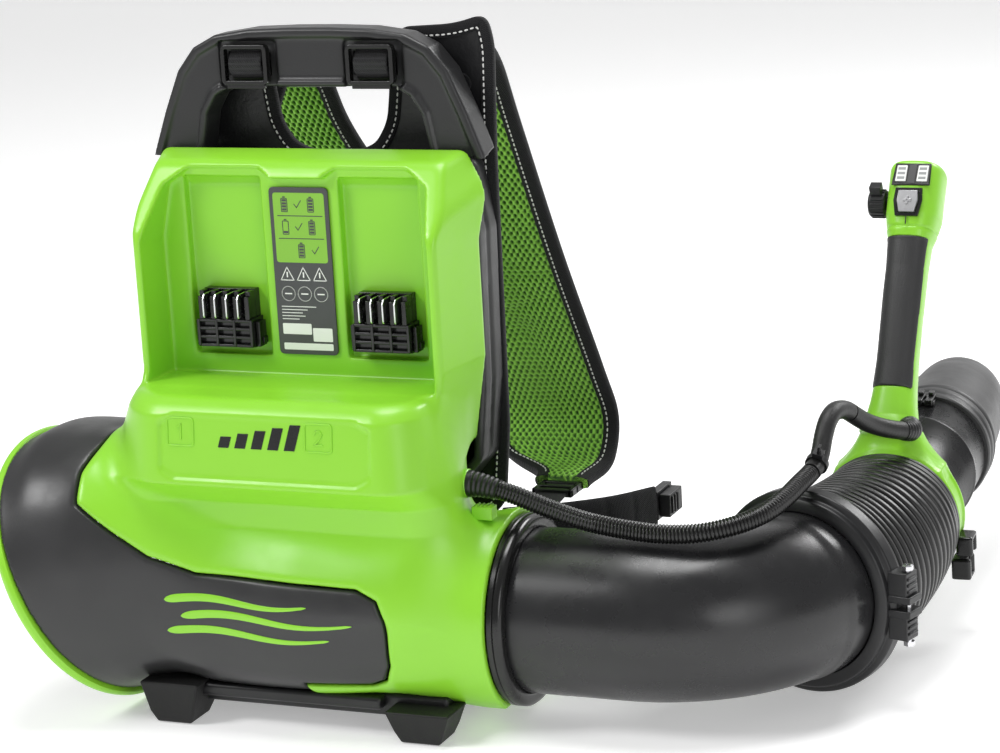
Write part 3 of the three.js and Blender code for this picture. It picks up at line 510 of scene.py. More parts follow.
def surface(low, high, step, distance):
    """Surface-net mesh of distance(x, y, z) < 0 inside a box, pulled onto the exact zero surface."""
    axes = [np.arange(a, b + step, step) for a, b in zip(low, high)]
    x, y, z = axes[0][:, None, None], axes[1][None, :, None], axes[2][None, None, :]
    field = np.broadcast_to(distance(x, y, z), [len(a) for a in axes]).astype(np.float32).copy()
    for k in range(3):
        edge = [slice(None)] * 3
        for side in (0, -1):
            edge[k] = side
            field[tuple(edge)] = np.maximum(field[tuple(edge)], 0.5)
    sign = field < 0
    corner = lambda c: sign[tuple(slice(o, field.shape[i] - 1 + o) for i, o in enumerate(c))]
    count = sum(corner(c).astype(np.int8) for c in CORNERS)
    active = (count > 0) & (count < 8)
    cells = np.argwhere(active)
    number = np.full(active.shape, -1, np.int32)
    number[active] = np.arange(len(cells))
    values = [field[cells[:, 0] + c[0], cells[:, 1] + c[1], cells[:, 2] + c[2]] for c in CORNERS]
    total, hits = np.zeros((len(cells), 3)), np.zeros(len(cells))
    for a, b in EDGES:
        crossing = (values[a] < 0) != (values[b] < 0)
        t = np.where(crossing, values[a] / np.where(crossing, values[a] - values[b], 1), 0)
        ca, cb = np.array(CORNERS[a], float), np.array(CORNERS[b], float)
        total += np.where(crossing[:, None], ca + t[:, None] * (cb - ca), 0)
        hits += crossing
    at = cells + total / hits[:, None]
    start = at.copy()
    for _ in range(4):
        value = trilinear(field, at)
        slope = np.column_stack([
            trilinear(field, at + np.eye(3)[k] * 0.4) - trilinear(field, at - np.eye(3)[k] * 0.4)
            for k in range(3)]) / 0.8
        at -= 0.8 * value[:, None] * slope / np.maximum((slope ** 2).sum(1), 0.02)[:, None]
        at = np.clip(at, start - 0.7, start + 0.7)
    faces = []
    for k in range(3):
        u, v = [a for a in range(3) if a != k]
        here = [slice(1, -1)] * 3
        here[k] = slice(0, -1)
        there = list(here)
        there[k] = slice(1, None)
        first, second = sign[tuple(here)], sign[tuple(there)]
        spots = np.argwhere(first != second)
        flip = first[tuple(spots.T)]
        spots[:, u] += 1
        spots[:, v] += 1
        quads = []
        for du, dv in ((0, 0), (-1, 0), (-1, -1), (0, -1)):
            cell = spots.copy()
            cell[:, u] += du
            cell[:, v] += dv
            quads.append(number[tuple(cell.T)])
        quads = np.column_stack(quads)
        turn = flip if k != 1 else ~flip
        quads[turn] = quads[turn][:, ::-1]
        faces.append(quads)
    quads = np.concatenate(faces)[:, ::-1]
    return np.array(low) + at * step, quads


# ---------------------------------------------------------------- housing shell and cowl
HOUSING = np.array([
    # x, y, z, half depth, half height, tilt (deg), yaw (deg), squareness
    [-215, 50, 100, 107, 108, 24, 5, 2.1],
    [-180, 50, 104, 105, 106, 24, 5, 2.1],
    [-148, 49, 113, 97, 101, 13, 3, 2.3],
    [-105, 47, 108, 78, 84, 6, 0, 2.6],
    [-60, 46, 88, 70, 66, 0, 0, 2.9],
    [20, 46.5, 80, 71.5, 56.5, 0, 0, 3.0],
    [95, 53, 80, 66, 56.5, 0, 0, 2.8],
    [132, 70, 79, 72, 70, 0, 0, 2.2],
    [151, 75, 78.5, 74, 74, 0, 0, 2.0],
    [170, 78, 78, 75, 75, 0, 0, 2.0],
])
NOSE = np.array([
    # z, half width, front y
    [60, 112, -8], [96, 112, -8], [150, 115, 2], [170, 113, -3], [179, 113, -13], [187, 113, -23],
    [236, 109, -17.5], [243, 107, -12], [248, 104, -7], [300, 104, -7],
])
OUTLET_FACE_X = 151.0
TOWER_TOP = 397.0
TOWER_TOP_SLOPE = 14 / 64
TOWER_CORNER = unit([0.848, -0.318, 0.424])
FRONT_TOP_Z = 356.0
BAY = both_sides([(21, 394), (31, 401), (86, 401), (104, 389), (113, 350), (113, 220)])[::-1]
CHANNEL = [(31, 262), (93, 262), (93, 394), (31, 394)]
COWL = [
    (-400, 400), (-150, 400), (-150, 206), (-154, 188), (-151, 169), (-123, 148), (-98, 131), (-62, 119),
    (22, 115),
    (62, 113), (77, 106), (83, 92), (83, 58), (78, 46), (66, 41), (15, 40), (15, -100), (-400, -100),
]
COWL_RECESS = 2.4
NOSE_FLARE = np.array([[60, 34], [150, 40], [190, 34], [226, 22], [248, 13], [300, 13]])
PANEL_DEPTH = 2.0
NOSE_LOW = 100.0
SHELL_STEP = 1.6


def hermite(table, at):
    """Smooth interpolation of each column of a table against its first column."""
    knots = table[:, 0]
    slopes = np.gradient(table, knots, axis=0)
    i = np.clip(np.searchsorted(knots, at) - 1, 0, len(knots) - 2)
    width = knots[i + 1] - knots[i]
    t = np.clip((at - knots[i]) / width, 0, 1)
    columns = []
    for k in range(1, table.shape[1]):
        p, q, m, n = table[i, k], table[i + 1, k], slopes[i, k] * width, slopes[i + 1, k] * width
        columns.append((2 * t**3 - 3 * t**2 + 1) * p + (t**3 - 2 * t**2 + t) * m
                       + (3 * t**2 - 2 * t**3) * q + (t**3 - t**2) * n)
    return columns


def fan_body(x, y, z):
    """The round body between the intake and the outlet."""
    along = x + 0 * y + 0 * z
    for _ in range(3):
        cy, cz, _, _, tilt, yaw, _ = hermite(HOUSING, along)
        along = x + np.tan(np.radians(tilt)) * (z - cz) - np.tan(np.radians(yaw)) * (y - cy)
    cy, cz, deep, high, tilt, _, power = hermite(HOUSING, along)
    dy = np.abs(y - cy)
    dz = np.abs(z - cz) / np.cos(np.radians(tilt))
    q = ((dy / deep) ** power + (dz / high) ** power) ** (1 / power)
    return np.hypot(dy, dz) * (1 - 1 / np.maximum(q, 1e-3))


def rounded_plan(x, y, half, front, back, corner):
    middle, depth = (front + back) / 2, (back - front) / 2
    dx = np.abs(x) - half + corner
    dy = np.abs(y - middle) - depth + corner
    return (np.hypot(np.maximum(dx, 0), np.maximum(dy, 0)) + np.minimum(np.maximum(dx, dy), 0) - corner)


def nose_body(x, y, z, back):
    half = np.interp(z, NOSE[:, 0], NOSE[:, 1])
    front = np.interp(z, NOSE[:, 0], NOSE[:, 2])
    flare = np.interp(z, NOSE_FLARE[:, 0], NOSE_FLARE[:, 1])
    flare = flare * np.where(x < 0, 1, 0.3)
    half = half + flare * smoothstep(-24, 30, y) * (1 - 0.95 * smoothstep(34, 92, y))
    plan = np.maximum(rounded_plan(x, y, half, front, back, 26), NOSE_LOW - z)
    return smax(plan, z - SHELF_Z, 9)


def tower_body(x, y, z, back):
    flare = 0.117 + 0.11 * smoothstep(340, 382, z)
    side = 119.5 + (y - RIM_Y) * flare - np.maximum(0, 262 - z) * 0.17
    top = z - TOWER_TOP - (y - RIM_Y) * TOWER_TOP_SLOPE
    corner = ((np.abs(x) - 104) * TOWER_CORNER[0] + (y - RIM_Y) * TOWER_CORNER[1]
              + (z - TOWER_TOP) * TOWER_CORNER[2])
    chamfer = (RIM_Y - y) * 0.8 + (z - FRONT_TOP_Z) * 0.6
    body = smax(smax(smax(np.abs(x) - side, corner, 4), top, 5), chamfer, 4)
    return smax(smax(smax(body, RIM_Y - y, 5), 200 - z, 2), y - back, 2)


def shell_outside(x, y, z, back):
    top = smin(nose_body(x, y, z, back), tower_body(x, y, z, back), 14)
    return smin(fan_body(x, y, z), top, 26)


def bays(x, y, z):
    """The battery pocket with its two deeper channels, each with a sloping lead-in at the top."""
    pocket = smax(polygon(x, z, BAY, 6), y - BAY_BACK_Y, 3)
    pocket = np.maximum(pocket, SHELF_Z - 0.01 - z)
    ax = np.abs(x)
    rise = np.clip((z - 387) / 7, 0, 1)
    channel = smax(polygon(ax, z, CHANNEL, 1.5), y - (BAY_BACK_Y + 8) + rise * 4, 0.8)
    return np.minimum(pocket, channel)


def intake_plane(x, y, z, out=0.0):
    lean = -(math.pi / 2 + INTAKE_TILT)
    normal = np.array([math.sin(lean), 0, math.cos(lean)])
    c, s = math.cos(-INTAKE_YAW), math.sin(-INTAKE_YAW)
    normal = np.array([c * normal[0], s * normal[0], normal[2]])
    centre = INTAKE_CENTRE
    return (x - centre[0]) * normal[0] + (y - centre[1]) * normal[1] + (z - centre[2]) * normal[2] - out


def nose_panel(x, z):
    outline = [(-83, 231), (-83, 197), (-72, 191), (72, 191), (83, 197), (83, 231), (72, 237), (-72, 237)]
    return polygon(x, z, outline, 5)


def shell_solid(x, y, z, recess):
    outside = shell_outside(x, y, z, TOWER_BACK_Y)
    outside = outside + recess
    on_nose = np.where(y < 10, smoothstep(1.4, -1.4, nose_panel(x, z)), 0)
    outside = outside + PANEL_DEPTH * on_nose
    solid = smax(outside, -bays(x, y, z), 2.5)
    hollow = shell_outside(x, y, z, TOWER_BACK_Y) + WALL + recess
    hollow = smax(hollow, -(bays(x, y, z) - WALL - 1), 3)
    return solid, hollow


def housing_distance(x, y, z):
    solid, hollow = shell_solid(x, y, z, 0)
    seam = polygon(x, z, COWL, 0) + 0 * y
    solid = smax(solid, 0.45 - seam, 7)
    gland = np.hypot(y - 60, z - 175) - 8.2 + 200 * (x < 90)
    solid = np.maximum(solid, -gland)
    solid = np.maximum(solid, x - OUTLET_FACE_X)
    solid = np.maximum(solid, intake_plane(x, y, z))
    return np.maximum(solid, -hollow)


def cowl_distance(x, y, z):
    solid, hollow = shell_solid(x, y, z, COWL_RECESS)
    seam = polygon(x, z, COWL, 0) + 0 * y
    solid = smax(solid, seam + 0.45, 2)
    solid = np.maximum(solid, intake_plane(x, y, z))
    return np.maximum(solid, -hollow)


def housing_pieces():
    points, faces = surface((-240, -66, 14), (156, 128, 418), SHELL_STEP, housing_distance)
    piece("housing_look", points, faces, green_plastic, replaces=["housing_shell"], slot="green_abs",
          sharp=0)
    points, faces = surface((-240, -66, -12), (90, 168, 222), SHELL_STEP, cowl_distance)
    piece("cowl_look", points, faces, cowl_plastic, replaces=["intake_cowl"], slot="grey_cowl", sharp=0)


housing_pieces()


# ---------------------------------------------------------------- intake, outlet, elbow and hose
INTAKE_AXES = np.array([
    [-math.sin(INTAKE_TILT) * math.cos(INTAKE_YAW), math.sin(INTAKE_TILT) * math.sin(INTAKE_YAW),
     math.cos(INTAKE_TILT)],
    [math.sin(INTAKE_YAW), math.cos(INTAKE_YAW), 0],
    [-math.cos(INTAKE_TILT) * math.cos(INTAKE_YAW), math.cos(INTAKE_TILT) * math.sin(INTAKE_YAW),
     -math.sin(INTAKE_TILT)],
])
ELBOW_END = np.array([
    ELBOW_STRAIGHT_X + ELBOW_BEND * math.sin(ELBOW_SWEEP),
    OUTLET[1] + ELBOW_BEND * (1 - math.cos(ELBOW_SWEEP)), OUTLET[2]])
AIM = np.array([math.cos(ELBOW_SWEEP), math.sin(ELBOW_SWEEP), 0])
COLLAR_AXES = np.array([AIM, [-AIM[1], AIM[0], 0], [0, 0, 1]])
TUBE_AIM = np.array([
    -math.sin(TUBE_YAW) * math.cos(TUBE_PITCH), math.cos(TUBE_YAW) * math.cos(TUBE_PITCH),
    math.sin(TUBE_PITCH)])
TUBE_X = np.array([math.cos(TUBE_YAW), math.sin(TUBE_YAW), 0])
TUBE_AXES = np.array([TUBE_X, TUBE_AIM, np.cross(TUBE_X, TUBE_AIM)])
HOSE_REAR_RADIUS, HOSE_FRONT_RADIUS, RIB_DEPTH = 69.0, 56.0, 6.0
HOSE_RIBS_PER_HALF = 7
SIDES = 120


def intake():
    """The green lip round the intake and the guard behind it, on the leaning intake plane."""
    angle = np.linspace(0, 2 * math.pi, 160, endpoint=False)
    section = [
        (0.5, 1.0), (6.5, 1.4), (9.3, -0.4), (10.6, -3.2), (9.6, -6.0), (6.5, -7.4), (0.5, -7.4)]
    rings = []
    for a in angle:
        radial = np.array([math.cos(a) * INTAKE_UP, math.sin(a) * (INTAKE_ACROSS + 0.5), 0])
        direction = unit(radial)
        rings.append([INTAKE_CENTRE + (radial + direction * out + (0, 0, lift)) @ INTAKE_AXES for lift,
                      out in section])
    points = np.array(rings)
    faces = grid_faces(len(rings), len(section), wrap_rows=True)
    rim = piece("intake_rim_look", points.reshape(-1, 3), faces, green_plastic, replaces=["intake_rim"],
                slot="green_abs", sharp=40)
    rim.modifiers.new("smooth", "SUBSURF").levels = 1
    rim.modifiers["smooth"].render_levels = 1
    guard = Builder()
    for share in np.linspace(0.12, 0.93, 12):
        ring = np.array([[math.cos(a) * 99 * share, math.sin(a) * 98 * share,
                          1.5 - 3 * share] for a in angle])
        rings = []
        for i, centre in enumerate(ring):
            direction = unit(centre * (1, 1, 0))
            offsets = [(1.1, 0), (0, 1.6), (-1.1, 0), (0, -1.6)]
            rings.append([INTAKE_CENTRE + (centre + direction * o + (0, 0, lift)) @ INTAKE_AXES
                          for o, lift in offsets])
        guard.add(np.array(rings).reshape(-1, 3), grid_faces(len(rings), 4, wrap_rows=True))
    for a in np.linspace(0, 2 * math.pi, 24, endpoint=False):
        spoke = np.array([math.cos(a), math.sin(a), 0])
        side = np.array([-spoke[1], spoke[0], 0])
        axes = np.array([spoke, side, [0, 0, 1]]) @ INTAKE_AXES
        guard.box((12, -1.2, -3.2), (97, 1.2, 0.0), at=INTAKE_CENTRE, axes=axes)
    hub, faces = lathe([(-3, 0.5), (-3, 15), (3, 14), (5.5, 9), (6.5, 0.5)], INTAKE_CENTRE, INTAKE_AXES[2],
                       48)
    guard.add(hub, faces)
    guard.make("intake_guard_look", black_plastic, replaces=["intake_grille"], slot="black_abs")


def elbow_path(start, count=60):
    straight = [(x, OUTLET[1], OUTLET[2]) for x in np.linspace(start, ELBOW_STRAIGHT_X - 4, 12)]
    bend = [(ELBOW_STRAIGHT_X + ELBOW_BEND * math.sin(a), OUTLET[1] + ELBOW_BEND * (1 - math.cos(a)),
             OUTLET[2])
            for a in np.linspace(0, ELBOW_SWEEP, count)]
    return np.array(straight + bend)


def duct():
    path = elbow_path(147.5)
    outer = np.full(len(path), ELBOW_RADIUS)
    travelled = np.concatenate([[0], np.cumsum(np.linalg.norm(np.diff(path, axis=0), axis=1))])
    left = travelled[-1] - travelled
    outer = outer + 1.1 * smoothstep(20, 16, left) - 0.6 * smoothstep(6, 0, left)
    outer[0] -= 1.0
    outer = outer - 0.5 * np.exp(-((travelled - 26) / 1.6) ** 2)
    pipe("elbow_look", path, outer, np.full(len(path), ELBOW_BORE), tube_plastic, SIDES,
         replaces=["elbow"], slot="tube_plastic", sharp=50)
    profile = [(0.4, 60.6), (0.4, 68.6), (1.4, 69.9), (4.6, 69.9), (5.4, 69.0), (6.2, 69.9), (9.4, 69.9),
               (11.6, 68.2), (12.4, 65.6), (12.6, 62.0), (12.2, 60.6)]
    points, faces = lathe(profile, OUTLET, (1, 0, 0), SIDES)
    piece("outlet_ring_look", points, faces, gloss_black, replaces=["outlet_ring"], slot="black_abs",
          sharp=40)


def collar():
    profile = [(-4, 61.3), (-4, 67.5), (-2.5, 70.5), (1.5, 71.6), (2.2, 74.6), (3.6, 76), (14, 76),
               (15.2, 75), (15.8, 72.4), (17.4, 72.2), (20.6, 71.2), (22, 69.5), (22, 61.3)]
    points, faces = lathe(profile, ELBOW_END, AIM, SIDES)
    ring = Builder().add(points, faces)
    for side in (-1, 1):
        low, high = sorted((3 * side, 25 * side))
        ring.box((0.5, -85, low), (16.5, -70, high), at=ELBOW_END, axes=COLLAR_AXES)
        low, high = sorted((2.6 * side, 8 * side))
        ring.box((-0.5, -88, low), (17.5, -70, high), at=ELBOW_END, axes=COLLAR_AXES)
        for step in range(3):
            z = side * (11 + 4.6 * step)
            ring.box((2.2, -86.2, z - 1.1), (14.8, -84, z + 1.1), at=ELBOW_END, axes=COLLAR_AXES)
    ring.make("collar_look", black_plastic, replaces=["hose_collar"], slot="black_nylon", bevel=0.9)


def hose_curve(t):
    p0 = ELBOW_END + 22.35 * AIM
    p3 = RING_CENTRE - 26 * TUBE_AIM
    p1, p2 = p0 + 38 * AIM, p3 - 38 * TUBE_AIM
    t = np.asarray(t, float)[:, None]
    return (1 - t) ** 3 * p0 + 3 * t * (1 - t) ** 2 * p1 + 3 * t * t * (1 - t) * p2 + t ** 3 * p3


def bellows(name, node, low, high, ribs, **options):
    steps = 14 * ribs
    share = np.linspace(0, 1, steps + 1)
    t = low + (high - low) * share
    crest = HOSE_REAR_RADIUS + (HOSE_FRONT_RADIUS - HOSE_REAR_RADIUS) * t
    phase = np.abs(2 * ((share * ribs) % 1) - 1)
    phase[-1] = 1
    valley = RIB_DEPTH * np.clip(phase, 0, 1) ** 4
    outer = crest - valley
    inner = crest - RIB_DEPTH - 3 + 0 * valley
    return pipe(name, hose_curve(t), outer, inner, hose_rubber, SIDES, replaces=[node], slot="hose_rubber",
                sharp=60, **options)


def hose():
    rear = bellows("bellows_rear_look", "bellows_rear", 0, 0.472, HOSE_RIBS_PER_HALF, body=None)
    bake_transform(rear)
    bellows("bellows_middle_look", "bellows_middle", 0.475, 0.525, 1, body="hose_middle")
    front = bellows("bellows_front_look", "bellows_front", 0.528, 1, HOSE_RIBS_PER_HALF, body=None)
    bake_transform(front)


def on_tube(points):
    return np.asarray(points, float) @ TUBE_AXES + RING_CENTRE


def tube():
    profile = [(-25.6, 45.8), (-25.6, 53), (-24.2, 55), (-19.5, 55), (-18.6, 53.8), (-17.4, 55),
               (-14.4, 55),
               (-13.4, 53.8), (-13.4, 45.8)]
    points, faces = lathe(profile, RING_CENTRE, TUBE_AIM, SIDES)
    piece("front_cuff_look", points, faces, black_plastic, body="tube", replaces=["front_cuff"],
          slot="black_nylon", sharp=40)
    profile = [(-24, 42.6), (-24, 45), (96, 45), (97.2, 46.4), (100, 46.4), (101.2, 45), (146, 45),
               (147, 44.4), (160, 44.4),
               (160, 42.6)]
    points, faces = lathe(profile, RING_CENTRE, TUBE_AIM, SIDES)
    piece("blower_tube_look", points, faces, tube_plastic, body="tube", replaces=["blower_tube"],
          slot="tube_plastic", sharp=50)


NOZZLE_POINTS = [RING_CENTRE + 147 * TUBE_AIM, RING_CENTRE + 180 * TUBE_AIM, (342, 590, 106),
                 (319, 690, 87), (293, 779, 57)]
NOZZLE_RADII = [[0, 48.5], [0.085, 48.5], [0.095, 46.3], [0.2, 44], [0.4, 40.5], [0.7, 37.5], [1, 35.5]]
NOZZLE_GROOVES = (0.032, 0.062)


def nozzle():
    path = smooth_path(NOZZLE_POINTS, 240)
    share = np.linspace(0, 1, len(path))
    table = np.array(NOZZLE_RADII)
    outer = np.interp(share, table[:, 0], table[:, 1])
    kernel = np.ones(5) / 5
    outer[3:-3] = np.convolve(outer, kernel, "same")[3:-3]
    for groove in NOZZLE_GROOVES:
        outer = outer - 1.5 * np.exp(-((share - groove) / 0.0042) ** 2)
    outer[:2] -= (1.2, 0.3)
    outer = outer + 1.4 * smoothstep(0.982, 0.99, share)
    outer[-1] -= 0.9
    pipe("nozzle_look", path, outer, outer - 2.6, nozzle_plastic, SIDES, body="nozzle",
         replaces=["nozzle"], slot="tube_plastic", sharp=50)


intake()
duct()
collar()
hose()
tube()
nozzle()


# ---------------------------------------------------------------- carry handle and back frame
HANDLE_OUTER = both_sides([(16, 497), (48, 496), (76, 492), (94, 483), (108, 466), (121, 436), (133, 404),
                           (136, 390)][::-1])
HANDLE_OPENING = both_sides([(66, 454), (78, 447), (86, 434), (94, 390)][::-1])
FRAME_OUTLINE = both_sides([(118, 404), (126, 350), (124, 240), (118, 182), (88, 148)][::-1])
LOCK_X, LOCK_Z = 50.0, 471.0


def handle_distance(x, y, z):
    outer = polygon(x, z, HANDLE_OUTER, 5)
    opening = polygon(x, z, HANDLE_OPENING, 4)
    body = smax(outer, -opening, 7)
    front = 96 + 2.4 * smoothstep(5.5, 8.5, -outer) * smoothstep(4, 7, opening)
    body = smax(body, front - y, 3.5)
    body = smax(body, y - 123, 6)
    body = np.maximum(body, 403 + (y - 96) * 0.2 - z)
    ax = np.abs(x)
    window = np.maximum(np.abs(ax - LOCK_X) - 16.5, np.abs(z - LOCK_Z) - 8.5)
    seat = smax(np.abs(ax - LOCK_X) - 23, np.abs(z - LOCK_Z) - 17, 4)
    body = smax(body, -smax(seat, y - 101.5, 2), 1.5)
    return smax(body, -np.maximum(window, y - 117), 1.5)


def frame_distance(x, y, z):
    plan = polygon(x, z, FRAME_OUTLINE, 14)
    body = smax(plan, 94.6 - y, 3)
    body = smax(body, y - 130, 3)
    groove = np.exp(-((y - 111) / 2.2) ** 2) * smoothstep(170, 200, z)
    body = body + 1.6 * groove
    hollow = np.maximum(plan + 7, 94 - y)
    hollow = np.maximum(hollow, y - 123)
    body = np.maximum(body, -hollow)
    tongue = smax(polygon(x, z, [(-66, 34), (84, 34), (84, 156), (-66, 156)], 8), np.abs(y - 127.4) - 2.5,
                  2)
    return smin(body, tongue, 3)


def frame_pieces():
    step = 1.4
    points, faces = surface((-138, 92, 398), (138, 127, 502), step, handle_distance)
    piece("carry_handle_look", points, faces, frame_plastic, replaces=["carry_handle"], slot="black_abs",
          sharp=0)
    points, faces = surface((-130, 91, 28), (130, 134, 408), step * 1.2, frame_distance)
    piece("back_frame_look", points, faces, frame_plastic, replaces=["back_frame"], slot="black_abs",
          sharp=0)


# ---------------------------------------------------------------- harness
PANEL_RIGHT = [
    (20, 402), (34, 408), (44, 424), (48, 452), (48, 478), (58, 492), (100, 494), (124, 501), (129, 480),
    (126, 400), (124, 200), (118, 140), (104, 128)]
PANEL_LEFT = [
    (20, 402), (34, 408), (44, 424), (48, 452), (48, 466), (56, 470), (84, 470), (96, 462), (104, 446),
    (116, 400), (124, 200), (118, 140), (104, 128)]
PANEL = PANEL_RIGHT[::-1] + [(-x, z) for x, z in PANEL_LEFT]
BINDING = 11.0
STRAP_PATH = [
    (78, 144, 404), (77, 146, 436), (75, 158, 462), (74, 180, 471), (73, 206, 456), (72, 240, 404),
    (74, 306, 291),
    (79, 366, 188), (83, 386, 140), (84, 368, 108), (84, 330, 99)]
TAIL_PATH = [(84, 338, 99), (85, 322, 98), (88, 260, 94), (92, 200, 90), (94, 137, 88)]
STRAP_WIDTH, STRAP_THICK, STRAP_FLARE = 62.0, 12.0, 48.0
WEBBING_WIDTH = 25.0
FABRIC_STEP = 0.85


def closed_loop(outline, corner, step):
    """The outline with its corners rounded off, as evenly spaced points."""
    outline = np.asarray(outline, float)
    points = []
    for before, here, after in zip(np.roll(outline, 1, 0), outline, np.roll(outline, -1, 0)):
        reach = min(corner, 0.45 * np.linalg.norm(before - here), 0.45 * np.linalg.norm(after - here))
        a, b = here + unit(before - here) * reach, here + unit(after - here) * reach
        for t in np.linspace(0, 1, 9):
            points.append((1 - t) ** 2 * a + 2 * t * (1 - t) * here + t * t * b)
    points = np.array(points + [points[0]])
    travelled = np.concatenate([[0], np.cumsum(np.linalg.norm(np.diff(points, axis=0), axis=1))])
    at = np.linspace(0, travelled[-1], int(travelled[-1] / step), endpoint=False)
    return np.column_stack([np.interp(at, travelled, points[:, k]) for k in range(2)])


def loop_normals(loop):
    tangent = np.roll(loop, -1, 0) - np.roll(loop, 1, 0)
    tangent /= np.linalg.norm(tangent, axis=1)[:, None]
    return np.column_stack([tangent[:, 1], -tangent[:, 0]])


def stitches(builder, path, normals, pitch=4.6, length=3.0, thick=0.42):
    """White thread: one raised dash per stitch along a 3-D path."""
    path = np.asarray(path, float)
    travelled = np.concatenate([[0], np.cumsum(np.linalg.norm(np.diff(path, axis=0), axis=1))])
    for s in np.arange(pitch, travelled[-1] - pitch, pitch):
        ends = [np.array([np.interp(s + d, travelled, path[:, k]) for k in range(3)])
                for d in (-length / 2, -length / 4, length / 4, length / 2)]
        normal = unit([np.interp(s, travelled, normals[:, k]) for k in range(3)])
        along = unit(ends[3] - ends[0])
        side = np.cross(along, normal)
        rings = []
        for point, lift, radius in zip(ends, (-0.25, 0.3, 0.3, -0.25), (0.6, 1, 1, 0.6)):
            for a in range(5):
                turn = 2 * math.pi * a / 5
                rings.append(point + normal * (lift + thick * radius * math.sin(turn))
                             + side * thick * 1.5 * radius * math.cos(turn))
        builder.add(rings, grid_faces(4, 5) + [tuple(range(4, -1, -1)), tuple(range(15, 20))])


def bound_edge(name, loop, y, thick, width, slot_name):
    """Twill binding folded over the edge of a flat panel, closed round its outline."""
    normal = loop_normals(loop)
    section = [(0.9, 0), (0.6, 0.42), (0, 0.5), (-0.94 * width, 0.5), (-width, 0.42), (-width, -0.42),
               (-0.94 * width, -0.5), (0, -0.5), (0.6, -0.42)]
    rings, values = [], []
    for i, (point, out) in enumerate(zip(loop, normal)):
        for across, lift in section:
            rings.append((point[0] + out[0] * across, y + lift * (thick + 1.8), point[1] + out[1] * across))
            values.append((i * FABRIC_STEP * 2, across, 0))
    obj = piece(name, rings, grid_faces(len(loop), len(section), wrap_rows=True), twill, slot=slot_name,
                sharp=50)
    attribute(obj, "band", values, "FLOAT_VECTOR")
    return obj


def harness_panel():
    loop = closed_loop(PANEL, 12, FABRIC_STEP * 2)
    middle = (PANEL_FRONT_Y + PANEL_BACK_Y) / 2
    shell = Builder().prism([tuple(p) for p in loop - 1.5 * loop_normals(loop)], PANEL_FRONT_Y + 0.5,
                            PANEL_BACK_Y - 0.5,
                            lambda u, v, w: (u, w, v))
    for x in (-104, 104):
        for z in (150, 452):
            boss, faces = lathe([(-1.2, 0.1), (-1.2, 6), (0.4, 7.6), (1.2, 7.2), (1.4, 5.2), (0.7, 4.6),
                                 (0.7, 0.1)],
                                (x, PANEL_FRONT_Y, z), (0, -1, 0), 32)
            shell.add(boss, faces)
    shell.make("harness_panel_look", panel_laminate, replaces=["harness_panel"], slot="harness_shell")
    edge = loop[::1]
    bound_edge("panel_binding", edge, middle, PANEL_BACK_Y - PANEL_FRONT_Y, BINDING - 2, "harness_shell")
    thread_line = Builder()
    inner = edge - (BINDING - 4.5) * loop_normals(edge)
    for side, y in ((-1, PANEL_FRONT_Y - 1.0), (1, PANEL_BACK_Y + 1.0)):
        path = [(u, y, v) for u, v in inner] + [(inner[0][0], y, inner[0][1])]
        stitches(thread_line, path, np.tile((0, side, 0), (len(path), 1)))
    thread_line.make("panel_stitching", thread, slot="harness_shell")


def hex_holes(along, across):
    """1 in the middle of each mesh hole and 0 between them."""
    pitch_along, pitch_across, half_along, half_across = 4.5, 5.4, 2.5, 1.55
    nearest = np.full(along.shape, 9.0)
    for shift in (-1, 0, 1):
        row = np.round(along / pitch_along) + shift
        offset = 0.5 * np.mod(row, 2)
        column = np.round(across / pitch_across - offset)
        q = (((along - row * pitch_along) / half_along) ** 2
             + ((across - (column + offset) * pitch_across) / half_across) ** 2)
        nearest = np.minimum(nearest, q)
    return smoothstep(1.25, 0.55, nearest)


def band_frames(path):
    tangent = np.gradient(path, axis=0)
    tangent /= np.linalg.norm(tangent, axis=1)[:, None]
    across = np.array([1.0, 0, 0]) - tangent[:, 0:1] * tangent
    across /= np.linalg.norm(across, axis=1)[:, None]
    return tangent, across, np.cross(tangent, across)


